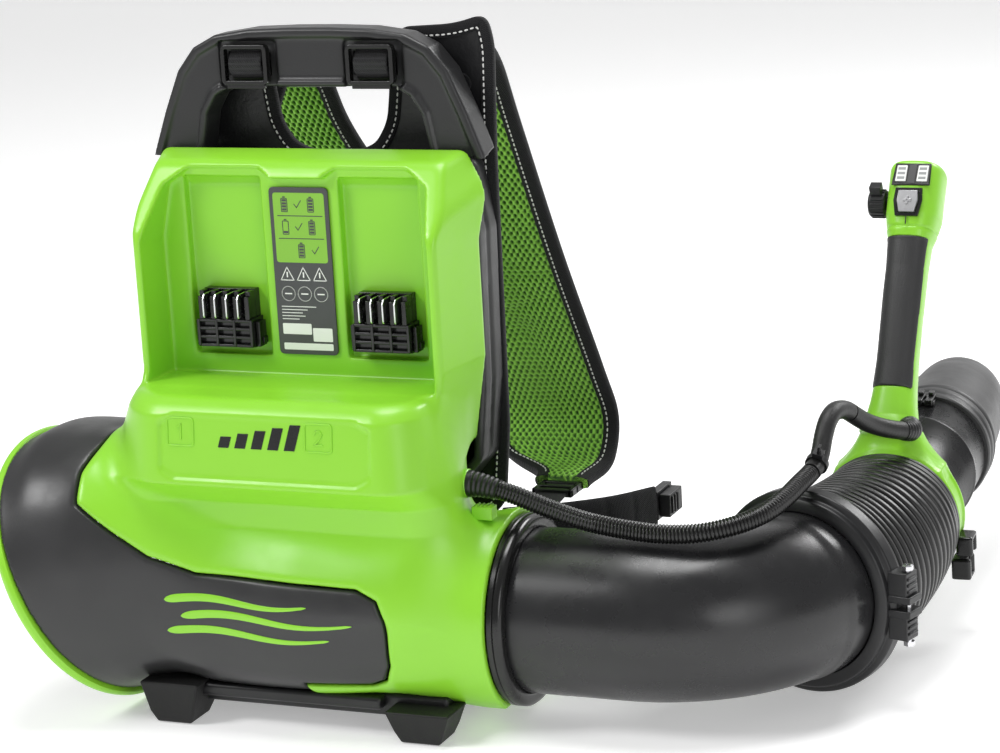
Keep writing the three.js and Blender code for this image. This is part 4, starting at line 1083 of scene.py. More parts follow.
def strap(side):
    mirror = np.array([side, 1, 1])
    label = "right" if side > 0 else "left"
    points = np.array(STRAP_PATH, float)
    count = int(path_length(smooth_path(points, 200)) / FABRIC_STEP)
    path = smooth_path(points, count)
    tangent, across, normal = band_frames(path)
    along = np.linspace(0, path_length(path), count)
    half = STRAP_WIDTH / 2 - 1.5
    v = np.linspace(-1, 1, int(2.3 * half / FABRIC_STEP))
    share = along / along[-1]
    flare = STRAP_FLARE * smoothstep(0.28, 0.62, share) * (1 - smoothstep(0.89, 0.99, share))
    width = half * (1 - 0.28 * smoothstep(60, 0, along)) * (1 - 0.25 * smoothstep(along[-1] - 45, along[-1],
                                                                                  along))
    width = width + flare / 2
    path = path - across * (flare / 2)[:, None]
    swell = (STRAP_THICK / 2) * np.sqrt(np.clip(1 - 0.72 * np.abs(v) ** 3.5, 0, 1))
    hole = hex_holes(along[:, None] + 0 * v, v[None, :] * width[:, None])
    field = smoothstep(9.5, 11, width[:, None] * (1 - np.abs(v))[None, :])
    hole = hole * field
    dimple = 5.5 * np.exp(-(((share - 0.70) / 0.035)[:, None] ** 2 + ((v[None, :] + 0.1) / 0.32) ** 2))
    crease = np.exp(-((share[:, None] - 0.655 + 0.04 * v[None, :]) / 0.012) ** 2)
    dimple = dimple + 2.0 * crease * (1 - v[None, :] ** 2)
    inner_lift = swell[None, :] - 1.9 * hole - dimple
    inner = (path[:, None] + across[:, None] * (v[None, :, None] * width[:, None, None])
             + normal[:, None] * inner_lift[..., None])
    v_back = v[::-4]
    back_lift = -(STRAP_THICK / 2) * np.sqrt(np.clip(1 - 0.72 * np.abs(v_back) ** 3.5, 0, 1))
    outer = (path[:, None] + across[:, None] * (v_back[None, :, None] * width[:, None, None])
             + normal[:, None] * back_lift[None, :, None])
    rings = np.concatenate([inner, outer], axis=1)
    columns = rings.shape[1]
    faces = grid_faces(count, columns)
    if side < 0:
        faces = [f[::-1] for f in faces]
    faces += [tuple(range(columns - 1, -1, -1)), tuple(range((count - 1) * columns, count * columns))]
    obj = piece(f"strap_{label}_look", rings.reshape(-1, 3) * mirror, faces, spacer_green,
                replaces=[f"shoulder_strap_{label}"], slot="green_mesh", sharp=0)
    # The hole mask also paints shade into the mesh holes through spacer_green.
    values = np.zeros((count, columns))
    values[:, :len(v)] = hole
    attribute(obj, "hole", values)
    back_cells = len(v) + np.arange(len(v_back))
    obj.data.materials.append(twill)
    is_back = np.zeros(len(obj.data.polygons), bool)
    per_row = columns
    for row in range(count - 1):
        is_back[row * per_row + back_cells[0] - 1:row * per_row + back_cells[-1] + 1] = True
    obj.data.polygons.foreach_set("material_index", is_back.astype(np.int32))
    coordinates = np.stack([along[:, None] + 0 * rings[..., 0],
                            np.concatenate([v, v_back])[None, :] * width[:, None], 0 * rings[..., 0]],
                            axis=-1)
    attribute(obj, "band", coordinates, "FLOAT_VECTOR")
    strap_edges(label, mirror, path, across, normal, width, along)
    strap_tail(label, mirror)


def strap_edges(label, mirror, path, across, normal, width, along):
    """Folded twill binding along both edges of the strap, with a line of white stitching."""
    keep = slice(0, None, 2)
    seams = Builder()
    for edge in (-1, 1):
        section = [(1.4, 0), (1.0, 2.4), (0, 3.9), (-5, 5.1), (-9.5, 5.9), (-10.4, 5.2), (-10.4, -5.2),
                   (-9.5, -5.9),
                   (-5, -5.1), (0, -3.9), (1.0, -2.4)]
        rim = path[keep] + across[keep] * (edge * width[keep, None])
        rings = np.stack([rim + across[keep] * edge * out + normal[keep] * lift for out, lift in section],
                         axis=1)
        faces = grid_faces(len(rim), len(section))
        faces += [tuple(range(len(section) - 1, -1, -1)),
                  tuple(range((len(rim) - 1) * len(section), len(rim) * len(section)))]
        obj = piece(f"strap_{label}_binding_{'in' if edge < 0 else 'out'}", rings.reshape(-1, 3) * mirror,
                    faces, twill,
                    slot="green_mesh", sharp=60)
        values = [(s, out, 0) for s in along[keep] for out, _ in section]
        attribute(obj, "band", values, "FLOAT_VECTOR")
        for lift in (-5.5, 5.5):
            line = (rim - across[keep] * edge * 6.6 + normal[keep] * lift) * mirror
            stitches(seams, line, normal[keep] * math.copysign(1, lift) * mirror)
    seams.make(f"strap_{label}_stitching", thread, slot="green_mesh")


def ribbon(name, path, width, thick, material, slot_name, mirror=(1, 1, 1), **options):
    """Flat woven webbing with rounded edges along a path."""
    path = np.asarray(path, float)
    _, across, normal = band_frames(path)
    shape = [(-0.5, 0), (-0.48, 0.4), (-0.44, 0.5), (0.44, 0.5), (0.48, 0.4), (0.5, 0), (0.48, -0.4),
             (0.44, -0.5),
             (-0.44, -0.5), (-0.48, -0.4)]
    rings = np.stack([path + across * u * width + normal * v * thick for u, v in shape], axis=1)
    faces = grid_faces(len(path), len(shape))
    faces += [tuple(range(len(shape) - 1, -1, -1)),
              tuple(range((len(path) - 1) * len(shape), len(path) * len(shape)))]
    obj = piece(name, rings.reshape(-1, 3) * np.asarray(mirror), faces, material, slot=slot_name, sharp=50,
                **options)
    travelled = np.concatenate([[0], np.cumsum(np.linalg.norm(np.diff(path, axis=0), axis=1))])
    values = [(s, u * width, 0) for s in travelled for u, _ in shape]
    attribute(obj, "band", values, "FLOAT_VECTOR")
    return obj


def strap_tail(label, mirror):
    path = smooth_path(TAIL_PATH, 220)
    ribbon(f"strap_{label}_tail", path, WEBBING_WIDTH, 2.4, webbing, "black_webbing", mirror)
    slider = Builder()
    at = np.array([85.5, 316, 97.5]) * mirror
    for y in (-11, 0, 11):
        slider.box((-17, y - 2.4, -3.2), (17, y + 2.4, 3.2), at=at)
    for x in (-17, 13.4):
        slider.box((x, -13.4, -3.2), (x + 3.6, 13.4, 3.2), at=at)
    slider.make(f"strap_{label}_slider", black_plastic, slot="black_nylon", bevel=0.9)
    patch = Builder()
    anchor = np.array([94, 136.6, 88]) * mirror
    patch.box((-15, -1.4, -13), (15, 1.6, 13), at=anchor)
    patch.make(f"strap_{label}_anchor", twill, slot="black_webbing", bevel=1.0)
    cross = Builder()
    corners = [np.array(p, float) + anchor for p in ((-12, 2.0, -10), (12, 2.0, -10), (12, 2.0, 10),
                                                     (-12, 2.0, 10))]
    for a, b in ((0, 1), (1, 2), (2, 3), (3, 0), (0, 2), (1, 3)):
        line = np.linspace(corners[a], corners[b], 12)
        stitches(cross, line, np.tile((0.0, 1.0, 0.0), (len(line), 1)), pitch=3.0, length=2.0, thick=0.3)
    cross.make(f"strap_{label}_cross_stitch", thread, slot="black_webbing")


def rounded_box(x0, x1, z0, z1, corner):
    return [tuple(p) for p in closed_loop([(x0, z0), (x1, z0), (x1, z1), (x0, z1)], corner,
                                          max(0.4, corner / 5))]


def raised_ring(builder, loop, inner, place, low, high):
    """The band between two loops with the same number of points, given a thickness."""
    n = len(loop)
    points = [place(u, v, w) for w in (low, high) for ring in (loop, inner) for u, v in ring]
    faces = []
    for i in range(n):
        k = (i + 1) % n
        faces += [(i, k, n + k, n + i), (2 * n + k, 2 * n + i, 3 * n + i, 3 * n + k),
                  (i, 2 * n + i, 2 * n + k, k), (n + k, 3 * n + k, 3 * n + i, n + i)]
    builder.add(points, faces)


def outline_frame(builder, x0, x1, z0, z1, corner, line, place, high):
    """A rounded rectangle drawn as a raised line."""
    loop = np.array(rounded_box(x0, x1, z0, z1, corner))
    raised_ring(builder, loop, loop - line * loop_normals(loop), place, 0, high)


def ladder_lock(side):
    """Buckle in the handle's window: a moulded frame with the strap's webbing drawn over its bar."""
    label = "right" if side > 0 else "left"
    x = side * LOCK_X
    lock = Builder()
    place = lambda u, v, w: (x + u, 97.5 - w, LOCK_Z + v)
    outline_frame(lock, -18.5, 18.5, -14.5, 14.5, 4.6, 3.0, place, 6.4)
    lock.box((-14.5, 95, -1.6), (14.5, 98, 1.6), at=(x, 0, LOCK_Z))
    lock.box((-15, 92.4, -17.5), (15, 96.5, -13), at=(x, 0, LOCK_Z))
    lock.make(f"ladder_lock_{label}_look", gloss_black, replaces=[f"ladder_lock_{label}"], slot="black_abs",
              bevel=0.5)
    over = [(x, 100.5, LOCK_Z - 11), (x, 95.4, LOCK_Z - 6.5), (x, 93.2, LOCK_Z - 1),
            (x, 94.2, LOCK_Z + 4.5),
            (x, 100.5, LOCK_Z + 11)]
    ribbon(f"lifter_webbing_{label}", smooth_path(over, 60), 26.5, 1.6, ribbed_webbing, "black_webbing")
    back = [(x, 122, LOCK_Z + 2), (x, 130, LOCK_Z + 3), (x, 141, LOCK_Z - 3)]
    ribbon(f"lifter_strap_{label}", smooth_path(back, 30), 25, 1.6, webbing, "black_webbing")


def pad_height():
    """Inflates a flat pad with a cloth simulation and returns its points in millimetres, from which back_pad
    takes the front face as a height map.
    """
    half_x, half_z, thick = 96.0, 129.0, 9.0
    loop = closed_loop([(-half_x, -half_z), (half_x, -half_z), (half_x, half_z), (-half_x, half_z)], 34, 8)
    blank = Builder().prism([tuple(p) for p in loop], 0, thick, lambda u, v, w: (u, w + REST_Y, v))
    obj = blank.make("pad_blank", twill, body=None)
    remesh = obj.modifiers.new("remesh", "REMESH")
    remesh.mode = "VOXEL"
    remesh.voxel_size = 0.0055
    cloth = obj.modifiers.new("cloth", "CLOTH")
    cloth.settings.use_pressure = True
    cloth.settings.uniform_pressure_force = 4.0
    cloth.settings.effector_weights.gravity = 0
    cloth.settings.quality = 5
    cloth.point_cache.frame_start = 1
    cloth.point_cache.frame_end = 20
    scene = bpy.context.scene
    for number in range(1, 21):
        scene.frame_set(number)
        bpy.context.view_layer.update()
    graph = bpy.context.evaluated_depsgraph_get()
    mesh = obj.evaluated_get(graph).to_mesh()
    co = np.empty(len(mesh.vertices) * 3)
    mesh.vertices.foreach_get("co", co)
    co = co.reshape(-1, 3) * 1000
    scene.frame_set(1)
    bpy.data.objects.remove(obj)
    return co


def back_pad():
    co = pad_height()
    front = co[co[:, 1] > np.median(co[:, 1])]
    centre_z, half_x, half_z = 265.0, 97.0, 130.0
    step = FABRIC_STEP * 1.2
    x = np.arange(-half_x, half_x + step, step)
    z = np.arange(-half_z, half_z + step, step)
    edges_x, edges_z = np.linspace(-104, 104, 36), np.linspace(-138, 138, 46)
    total, _, _ = np.histogram2d(front[:, 0], front[:, 2], (edges_x, edges_z), weights=front[:, 1])
    hits, _, _ = np.histogram2d(front[:, 0], front[:, 2], (edges_x, edges_z))
    level = np.where(hits > 0, total / np.maximum(hits, 1), np.nan)
    level = np.where(np.isnan(level), np.nanmin(level), level)
    for _ in range(3):
        padded = np.pad(level, 1, mode="edge")
        level = (padded[:-2, 1:-1] + padded[2:, 1:-1] + padded[1:-1, :-2] + padded[1:-1, 2:] + 4 * level) / 8
    level = (level - level.min()) / max(1e-6, level.max() - level.min())
    gx = np.clip((x[:, None] + 104) / 208 * 35 - 0.5, 0, 33.99) + 0 * z[None, :]
    gz = np.clip((z[None, :] + 138) / 276 * 45 - 0.5, 0, 43.99) + 0 * x[:, None]
    i, j = gx.astype(int), gz.astype(int)
    u, w = gx - i, gz - j
    height = ((1 - u) * (1 - w) * level[i, j] + u * (1 - w) * level[i + 1, j]
              + (1 - u) * w * level[i, j + 1] + u * w * level[i + 1, j + 1])
    corner = [(-half_x, -half_z), (half_x, -half_z), (half_x, half_z), (-half_x, half_z)]
    edge = polygon(x[:, None] + 0 * z[None, :], z[None, :] + 0 * x[:, None], corner, 34)
    inside = edge < -0.5
    hole = hex_holes(z[None, :] + 0 * x[:, None], x[:, None] + 0 * z[None, :]) * smoothstep(-11, -13, edge)
    channel = np.exp(-(np.abs(np.abs(x) - 34) / 4.2) ** 2)[:, None] * smoothstep(-8, -20, edge)
    top = PANEL_BACK_Y + 2.2 + 12.4 * np.sqrt(np.clip(-edge / 34, 0, 1)) ** 0.8 * (0.82 + 0.18 * height)
    top = top - 4.0 * channel - 1.7 * hole
    index = np.full(inside.shape, -1)
    index[inside] = np.arange(inside.sum())
    gx2, gz2 = np.where(inside)
    points = np.column_stack([x[gx2], top[inside], z[gz2] + centre_z])
    a, b, c, d = index[:-1, :-1], index[1:, :-1], index[1:, 1:], index[:-1, 1:]
    whole = (a >= 0) & (b >= 0) & (c >= 0) & (d >= 0)
    faces = np.column_stack([a[whole], d[whole], c[whole], b[whole]])
    obj = piece("back_pad_look", points, faces, spacer_green, replaces=["back_pad"], slot="green_mesh",
                sharp=0)
    # The hole mask also paints shade into the mesh holes through spacer_green.
    attribute(obj, "hole", hole[inside])
    loop = closed_loop(corner, 34, FABRIC_STEP * 2) + (0, centre_z)
    rim = bound_edge("pad_binding", loop, PANEL_BACK_Y + 2.9, 3.2, 8, "green_mesh")
    seams = Builder()
    inner = loop - 5.6 * loop_normals(loop)
    path = [(p[0], PANEL_BACK_Y + 5.5, p[1]) for p in inner]
    stitches(seams, path + path[:1], np.tile((0.0, 1.0, 0.0), (len(path) + 1, 1)))
    seams.make("pad_stitching", thread, slot="green_mesh")


WAIST_ROUTE = [(112, 142, 106), (142, 168, 106), (172, 210, 105), (190, 256, 104)]


def waist_belt(side):
    label = "right" if side > 0 else "left"
    mirror = np.array([side, 1, 1])
    drift = np.array([0, 18 if side < 0 else 0, 0])
    route = [np.array(p, float) + drift * (0 if i == 0 else 1) for i, p in enumerate(WAIST_ROUTE)]
    path = smooth_path(route, 150)
    tangent = np.gradient(path, axis=0)
    tangent /= np.linalg.norm(tangent, axis=1)[:, None]
    side_way = np.cross(tangent, (0, 0, 1.0))
    share = np.linspace(0, 1, len(path))
    high = 27 - 9 * share
    thick = 5.0 * (1 - 0.35 * share)
    turn = np.linspace(0, 2 * math.pi, 48, endpoint=False)
    shape = np.column_stack([np.sign(np.cos(turn)) * np.abs(np.cos(turn)) ** 0.9,
                             np.sign(np.sin(turn)) * np.abs(np.sin(turn)) ** 0.7])
    quilt = 1 - 0.16 * np.abs(np.cos(share * math.pi * 5)) ** 14
    rings = (path[:, None] + side_way[:, None] * (shape[None, :, 0:1] * (thick * quilt)[:, None, None])
             + np.array([0, 0, 1.0]) * (shape[None, :, 1:2] * high[:, None, None]))
    faces = grid_faces(len(path), 48) + [tuple(range(47, -1, -1)), tuple(range(149 * 48, 150 * 48))]
    obj = piece(f"waist_belt_{label}_look", rings.reshape(-1, 3) * mirror, faces, twill,
                replaces=[f"waist_belt_{label}"], slot="black_webbing", sharp=50)
    values = [(s, shape[k, 1] * h, 0) for s, h in zip(share * path_length(path), high) for k in range(48)]
    attribute(obj, "band", values, "FLOAT_VECTOR")


def buckles():
    socket = Builder()
    socket.box((183, 262, 92.6), (190.4, 295, 115.4))
    socket.box((190.8, 264, 95), (199.4, 293, 113))
    for k in range(3):
        socket.box((199, 268 + 6 * k, 97), (200.6, 271 + 6 * k, 111))
    socket.make("buckle_socket_look", black_plastic, replaces=["buckle_socket"], slot="black_nylon",
                bevel=1.6)
    tongue = Builder()
    tongue.box((-199, 280, 93), (-184, 296, 115))
    for z in (94, 108):
        tongue.box((-196, 296, z), (-187, 317, z + 6))
    tongue.box((-194, 296, 101.6), (-189, 313, 106.4))
    tongue.make("buckle_tongue_look", black_plastic, replaces=["buckle_tongue"], slot="black_nylon",
                bevel=1.6)


frame_pieces()
harness_panel()
for hand in (1, -1):
    strap(hand)
    ladder_lock(hand)
    waist_belt(hand)
back_pad()
buckles()


# ---------------------------------------------------------------- control handle
LEAN_Y = np.array([0, math.cos(GRIP_LEAN), -math.sin(GRIP_LEAN)])
LEAN_Z = np.array([0, math.sin(GRIP_LEAN), math.cos(GRIP_LEAN)])
GRIP_AXES = np.array([[1, 0, 0], LEAN_Y, LEAN_Z])
GRIP_SHELL = np.array([
    # z, half width, half depth, centre y
    [-16, 25, 22, -3], [-8, 22.5, 20, -2], [2, 19.6, 18.6, 0], [13, 17.6, 17.6, 0], [24, 16.4, 16.9, 0],
    [45, 15.4, 16.4, 0], [80, 15.0, 16.0, 0], [120, 15.4, 16.5, 0], [140, 16.4, 17.8, 0],
    [148, 18.6, 20.4, 1],
    [162, 20.8, 24, 3], [196, 21, 24.8, 4],
    [220, 20, 24, 4],
])
SLEEVE_RISE = 1.1
LEVER_Z = 174.0


def on_grip(points):
    return np.asarray(points, float) @ GRIP_AXES + GRIP_BASE


def grip_section(x, y, z, power=2.6):
    half, deep, centre = (np.interp(z, GRIP_SHELL[:, 0], GRIP_SHELL[:, k]) for k in (1, 2, 3))
    dx, dy = np.abs(x), np.abs(y - centre)
    q = ((dx / half) ** power + (dy / deep) ** power) ** (1 / power)
    return np.hypot(dx, dy) * (1 - 1 / np.maximum(q, 1e-3))


def local_box(x, y, z, low, high, corner):
    centre = [(a + b) / 2 for a, b in zip(low, high)]
    half = [(b - a) / 2 - corner for a, b in zip(low, high)]
    dx, dy, dz = (np.abs(v - c) - h for v, c, h in zip((x, y, z), centre, half))
    outside = np.sqrt(np.maximum(dx, 0) ** 2 + np.maximum(dy, 0) ** 2 + np.maximum(dz, 0) ** 2)
    return outside + np.minimum(np.maximum(np.maximum(dx, dy), dz), 0) - corner


def sleeve_region(x, y, z):
    """The soft sleeve wraps the grip, but leaves a strip of the green shell bare on the outer side."""
    strip = smax(9.5 + 0.02 * z - x, np.abs(y - 2) - 10.5, 3)
    return smax(smax(-strip, 24 - z, 2), z - 143, 2)


BUTTON_POCKET = [(-7.1, 159.3), (7.1, 159.3), (9.4, 170), (8.7, 178.7), (-8.7, 178.7), (-9.4, 170)]
BEZEL_OUTER = [(-9.0, 157.6), (9.0, 157.6), (11.3, 170), (10.5, 180.3), (-10.5, 180.3), (-11.3, 170)]
BEZEL_INNER = [(-6.5, 159.9), (6.5, 159.9), (8.8, 170), (8.1, 178.2), (-8.1, 178.2), (-8.8, 170)]


def grip_shell_distance(x, y, z):
    body = grip_section(x, y, z)
    body = smax(body, z - 206 + 0.004 * (x * x + (y - 4) ** 2), 7)
    body = smax(body, -12 - z, 2)
    facet = -21.5 - y + np.maximum(0, z - 178) * 0.22
    body = smax(body, facet, 3)
    body = smax(body, -np.maximum(polygon(x, z, BUTTON_POCKET), y + 16), 0.6)
    groove = np.exp(-((z - 150.5) / 0.9) ** 2) * (np.abs(x) < 40)
    body = body + 0.8 * groove
    body = np.maximum(body, -local_box(x, y, z, (-6.4, 4, 88), (6.4, 40, 141), 2))
    return np.maximum(body, -np.maximum(sleeve_region(x, y, z), -(grip_section(x, y, z) + 1.4)))


def sleeve_distance(x, y, z):
    section = grip_section(x, y, z)
    swell = 0.35 * np.cos(np.clip((z - 40) / 100, 0, 1) * 2 * math.pi)
    body = smax(section - SLEEVE_RISE + swell, -section - 1.2, 0.5)
    body = smax(body, sleeve_region(x, y, z), 1.2)
    return np.maximum(body, -local_box(x, y, z, (-6.4, 4, 88), (6.4, 40, 141), 2))


def ring_distance(x, y, z):
    """Green clamp ring on the tube with the saddle that carries the grip, in tube axes."""
    r = np.hypot(x, z)
    band = smax(smax(np.abs(y) - 13.5, np.abs(r - 49.2) - 3.9, 2.5), -30 - z, 2)
    rib = smax(np.abs(np.abs(y) - 9.5) - 1.6, np.abs(r - 52.6) - 1.9, 1)
    band = smin(band, np.maximum(rib, -27 - z), 1.5)
    share = np.clip((z - 40) / 26, 0, 1) ** 0.7
    half, deep, centre = 40 - 17.5 * share, 27 - 8.5 * share, 2 + 7 * share
    q = ((np.abs(x) / half) ** 2.4 + (np.abs(y - centre) / deep) ** 2.4) ** (1 / 2.4)
    saddle = np.hypot(x, y - centre) * (1 - 1 / np.maximum(q, 1e-3))
    saddle = np.maximum(np.maximum(saddle, 36 - z), z - 66 + (y - 9) * math.tan(GRIP_LEAN))
    return np.maximum(smin(band, saddle, 9), 45.6 - r)


def ring_clamp_distance(x, y, z):
    r = np.hypot(x, z)
    band = smax(smax(np.abs(y) - 11, np.abs(r - 49) - 3.3, 2), z + 30.6, 1)
    upper = local_box(x, y, z, (50, -9.5, -28.5), (63, 9.5, -13), 1.8)
    lower = local_box(x, y, z, (46, -9.5, -48), (61, 9.5, -31.2), 1.8)
    slot_cut = local_box(x, y, z, (58, -5, -45), (70, 5, -16), 1)
    ears = smax(np.minimum(upper, lower), -slot_cut, 0.8)
    return np.maximum(np.minimum(band, ears), 45.6 - r)


def facet_y(z):
    """Front face of the head, which leans back above the button."""
    return -21.5 + max(0.0, z - 178) * 0.22


def on_facet(u, v, w):
    return (u, facet_y(v) - w, v)


def head_display():
    panel = Builder().prism([(-14.6, 182.5), (15.8, 182.5), (14.6, 201.5), (-13.6, 201.5)], -1.5, 0.35,
                            on_facet)
    panel.points = [on_grip(p) for p in panel.points]
    panel.make("display_panel", gloss_black, body="tube", slot="black_abs", bevel=0.8)
    band = Builder().prism([(-2.8, 184), (4.0, 184), (3.8, 200.5), (-2.6, 200.5)], -0.5, 0.6, on_facet)
    band.points = [on_grip(p) for p in band.points]
    band.make("display_band", cowl_plastic, body="tube", slot="black_abs", bevel=0.4)
    bezel = Builder()
    raised_ring(bezel, BEZEL_OUTER, BEZEL_INNER, on_facet, -1.5, 0.55)
    bezel.points = [on_grip(p) for p in bezel.points]
    bezel.make("button_bezel", gloss_black, body="tube", slot="black_abs", bevel=0.3)


def led_window(builder_white, builder_mark, side):
    x = 0.6 + side * 8.4
    builder_white.prism([(x - 4.3, 185.6), (x + 4.3, 185.6), (x + 4.1, 199.6), (x - 4.1, 199.6)], -0.6, 0.9,
                        on_facet)
    for row in range(3):
        z = 188.6 + 4.0 * row
        builder_mark.prism([(x - 2.9, z - 1.1), (x + 2.9, z - 1.1), (x + 2.9, z + 1.1), (x - 2.9, z + 1.1)],
                           0.7, 1.0, on_facet)


def control_handle():
    step = 0.75
    for name, distance, low, high, material, nodes, finish in (
        ("handle_shell_look", grip_shell_distance, (-23, -26, -14), (23, 32, 210), green_plastic,
         ["handle_shell_right", "handle_shell_left"], "green_abs"),
        ("grip_sleeve_look", sleeve_distance, (-21, -22, 0), (21, 22, 146), soft_rubber, ["grip_sleeve"],
         "grip_rubber"),
    ):
        points, faces = surface(low, high, step, distance)
        piece(name, on_grip(points), faces, material, body="tube", replaces=nodes, slot=finish, sharp=0)
    step = 1.1
    for name, distance, low, high, material, node, finish in (
        ("handle_ring_look", ring_distance, (-58, -27, -34), (58, 30, 82), green_plastic, "handle_ring",
         "green_abs"),
        ("ring_clamp_look", ring_clamp_distance, (-56, -16, -58), (68, 16, -8), gloss_black, "ring_clamp",
         "black_nylon"),
    ):
        points, faces = surface(low, high, step, distance)
        piece(name, on_tube(points), faces, material, body="tube", replaces=[node], slot=finish, sharp=0)
    head_display()
    white, marks = Builder(), Builder()
    for side in (-1, 1):
        led_window(white, marks, side)
    white.points = [on_grip(p) for p in white.points]
    white.make("led_windows_look", led_lens, body="tube", replaces=["led_display"], slot="led_lens",
               bevel=1.1)
    marks.points = [on_grip(p) for p in marks.points]
    marks.make("led_marks", led_mark, body="tube", slot="led_lens")
    seam = Builder().box((-0.35, -21.9, 151), (0.35, -21.2, 160))
    seam.points = [on_grip(p) for p in seam.points]
    seam.make("handle_seam", black_plastic, body="tube", slot="green_abs")
    button = Builder().prism([(-7.6, 177.6), (7.6, 177.6), (8.3, 170), (6.0, 160.4), (-6.0, 160.4),
                              (-8.3, 170)],
                             -1.2, 2.3, on_facet)
    button.box((-3.4, -24.5, 168.4), (3.4, -23.6, 170.6))
    button.box((-1.1, -24.5, 166.1), (1.1, -23.6, 172.9))
    button.points = [on_grip(p) for p in button.points]
    button.make("boost_button_look", silver_paint, body="boost", replaces=["boost_button"],
                slot="silver_button",
                bevel=0.9)
    cruise_knob()
    latch = Builder()
    for side in (-1, 1):
        low, high = sorted((side * 0.9, side * 7.4))
        latch.box((low, 127, 45), (high, 145, 50.4))
        latch.box((low + 1, 139, 50), (high - 1, 146, 53))
    latch.box((-8.6, 129, 45), (8.6, 135, 48.6))
    latch.points = [on_tube(p) for p in latch.points]
    latch.make("nozzle_latch_look", gloss_black, body="tube", replaces=["nozzle_latch"], slot="black_nylon",
               bevel=0.9)


def cruise_knob():
    """Knurled lever on the left of the head."""
    knob = Builder()
    axes = GRIP_AXES
    at = on_grip([(0, 2, LEVER_Z)])[0]
    points, faces = lathe([(-14, 0.2), (-14, 5), (-22, 5), (-22, 9.4), (-23, 10.6), (-34.6, 10.6),
                           (-36, 9.2),
                           (-36, 6.6), (-35, 5.8), (-35, 0.2)], at, (1, 0, 0), 48)
    knob.add(points, faces)
    for k in range(18):
        a = 2 * math.pi * k / 18
        spoke = np.array([[1, 0, 0], [0, math.cos(a), math.sin(a)], [0, -math.sin(a), math.cos(a)]]) @ axes
        knob.box((-34, 10.1, -0.7), (-23.6, 11.5, 0.7), at=at, axes=spoke)
    lever = np.array([[1, 0, 0], [0, math.cos(2.5), math.sin(2.5)],
                      [0, -math.sin(2.5), math.cos(2.5)]]) @ axes
    knob.box((-34, 6, -4), (-25, 18, 4), at=at, axes=lever)
    knob.make("cruise_lever_look", black_plastic, body="cruise", replaces=["cruise_lever"],
              slot="black_nylon", bevel=0.5)


control_handle()


# ---------------------------------------------------------------- control cord
CORD_ROUTE = [
    (120.6, 60, 175), (134, 60.5, 173.5), (156, 61, 168), (182, 61.5, 159), (210, 61, 151.5),
    (240, 60, 147.5),
    (268, 60, 146), (294, 65, 147), (315, 78, 150), (330, 97, 154), (338, 120, 159), (342, 143, 163.5),
    (344.5, 164, 166.5), (345.5, 176, 170), (346, 184, 176.5), (346.5, 190, 186), (347.5, 198, 195),
    (349, 208, 199.5),
    (350.5, 219, 199), (352.5, 231, 195.5), (355.5, 243, 188.5), (360, 256, 180.5), (366, 269, 174),
    (373, 281, 169),
    (379, 292, 165.5), (381, 302, 163.5), (378, 310, 163)]
CORD_REAR, CORD_SPLIT, CORD_GAP = 0.63, 0.815, 0.0035
CONDUIT_PITCH = 2.6
TIE_RING = 12


def cord_part(name, node, low, high, ribbed, body):
    """One length of the control cord: ribbed conduit or smooth braided sheath."""
    whole = smooth_path(CORD_ROUTE, 3000)
    travelled = np.linspace(0, 1, len(whole))
    total = path_length(whole)
    length = total * (high - low)
    rings = int(length / (CONDUIT_PITCH / 6 if ribbed else 1.0))
    at = np.linspace(low, high, rings)
    path = np.column_stack([np.interp(at, travelled, whole[:, k]) for k in range(3)])
    s = (at - low) * total
    radius = np.full(rings, CORD_RADIUS)
    if ribbed:
        radius = CORD_RADIUS - 0.95 * (0.5 - 0.5 * np.cos(2 * math.pi * s / CONDUIT_PITCH)) ** 1.6
    else:
        radius = radius - 0.12 * (0.5 - 0.5 * np.cos(2 * math.pi * s / 3.1))
    sides = 28
    ring_points = sweep(path, radius[:, None, None] * circle(sides), up=(0.25, 0.1, 1))
    faces = grid_faces(rings, sides)
    faces += [tuple(range(sides - 1, -1, -1)), tuple(range((rings - 1) * sides, rings * sides))]
    material = conduit_plastic if ribbed else sheath_plastic
    obj = piece(name, ring_points.reshape(-1, 3), faces, material, body=body, replaces=[node],
                slot="cord_cover", sharp=60)
    return obj, path, length


def cord():
    conduit, path, length = cord_part("cord_conduit_look", "cord_conduit", 0, CORD_REAR - CORD_GAP, True,
                                      "pack")
    boot = tapered_boot("cord_boot", path[:int(len(path) * 26 / length)], 10.0, 7.5, "pack")
    rear, path, length = cord_part("cord_sheath_rear_look", "cord_sheath_rear", CORD_REAR,
                                   CORD_SPLIT - CORD_GAP, False, None)
    tie = tie_strap(path[TIE_RING], path[TIE_RING + 4] - path[TIE_RING - 4])
    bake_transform(rear)
    front, path, length = cord_part("cord_sheath_front_look", "cord_sheath_front", CORD_SPLIT, 1, False,
                                    None)
    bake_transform(front)
    end = tapered_boot("cord_handle_boot", path[-22:][::-1], 9.2, 7.5, "tube")


def tapered_boot(name, path, wide, narrow, body):
    count = 60
    path = smooth_path(path[::max(1, len(path) // 12)], count)
    share = np.linspace(0, 1, count)
    outer = wide + (narrow - wide) * share - 0.7 * (0.5 - 0.5 * np.cos(share * 2 * math.pi * 7)) * (share > 0.12)
    return pipe(name, path, outer, np.full(count, CORD_RADIUS - 0.4), black_plastic, 32, up=(0.25, 0.1, 1),
                body=body,
                slot="black_nylon", sharp=50)


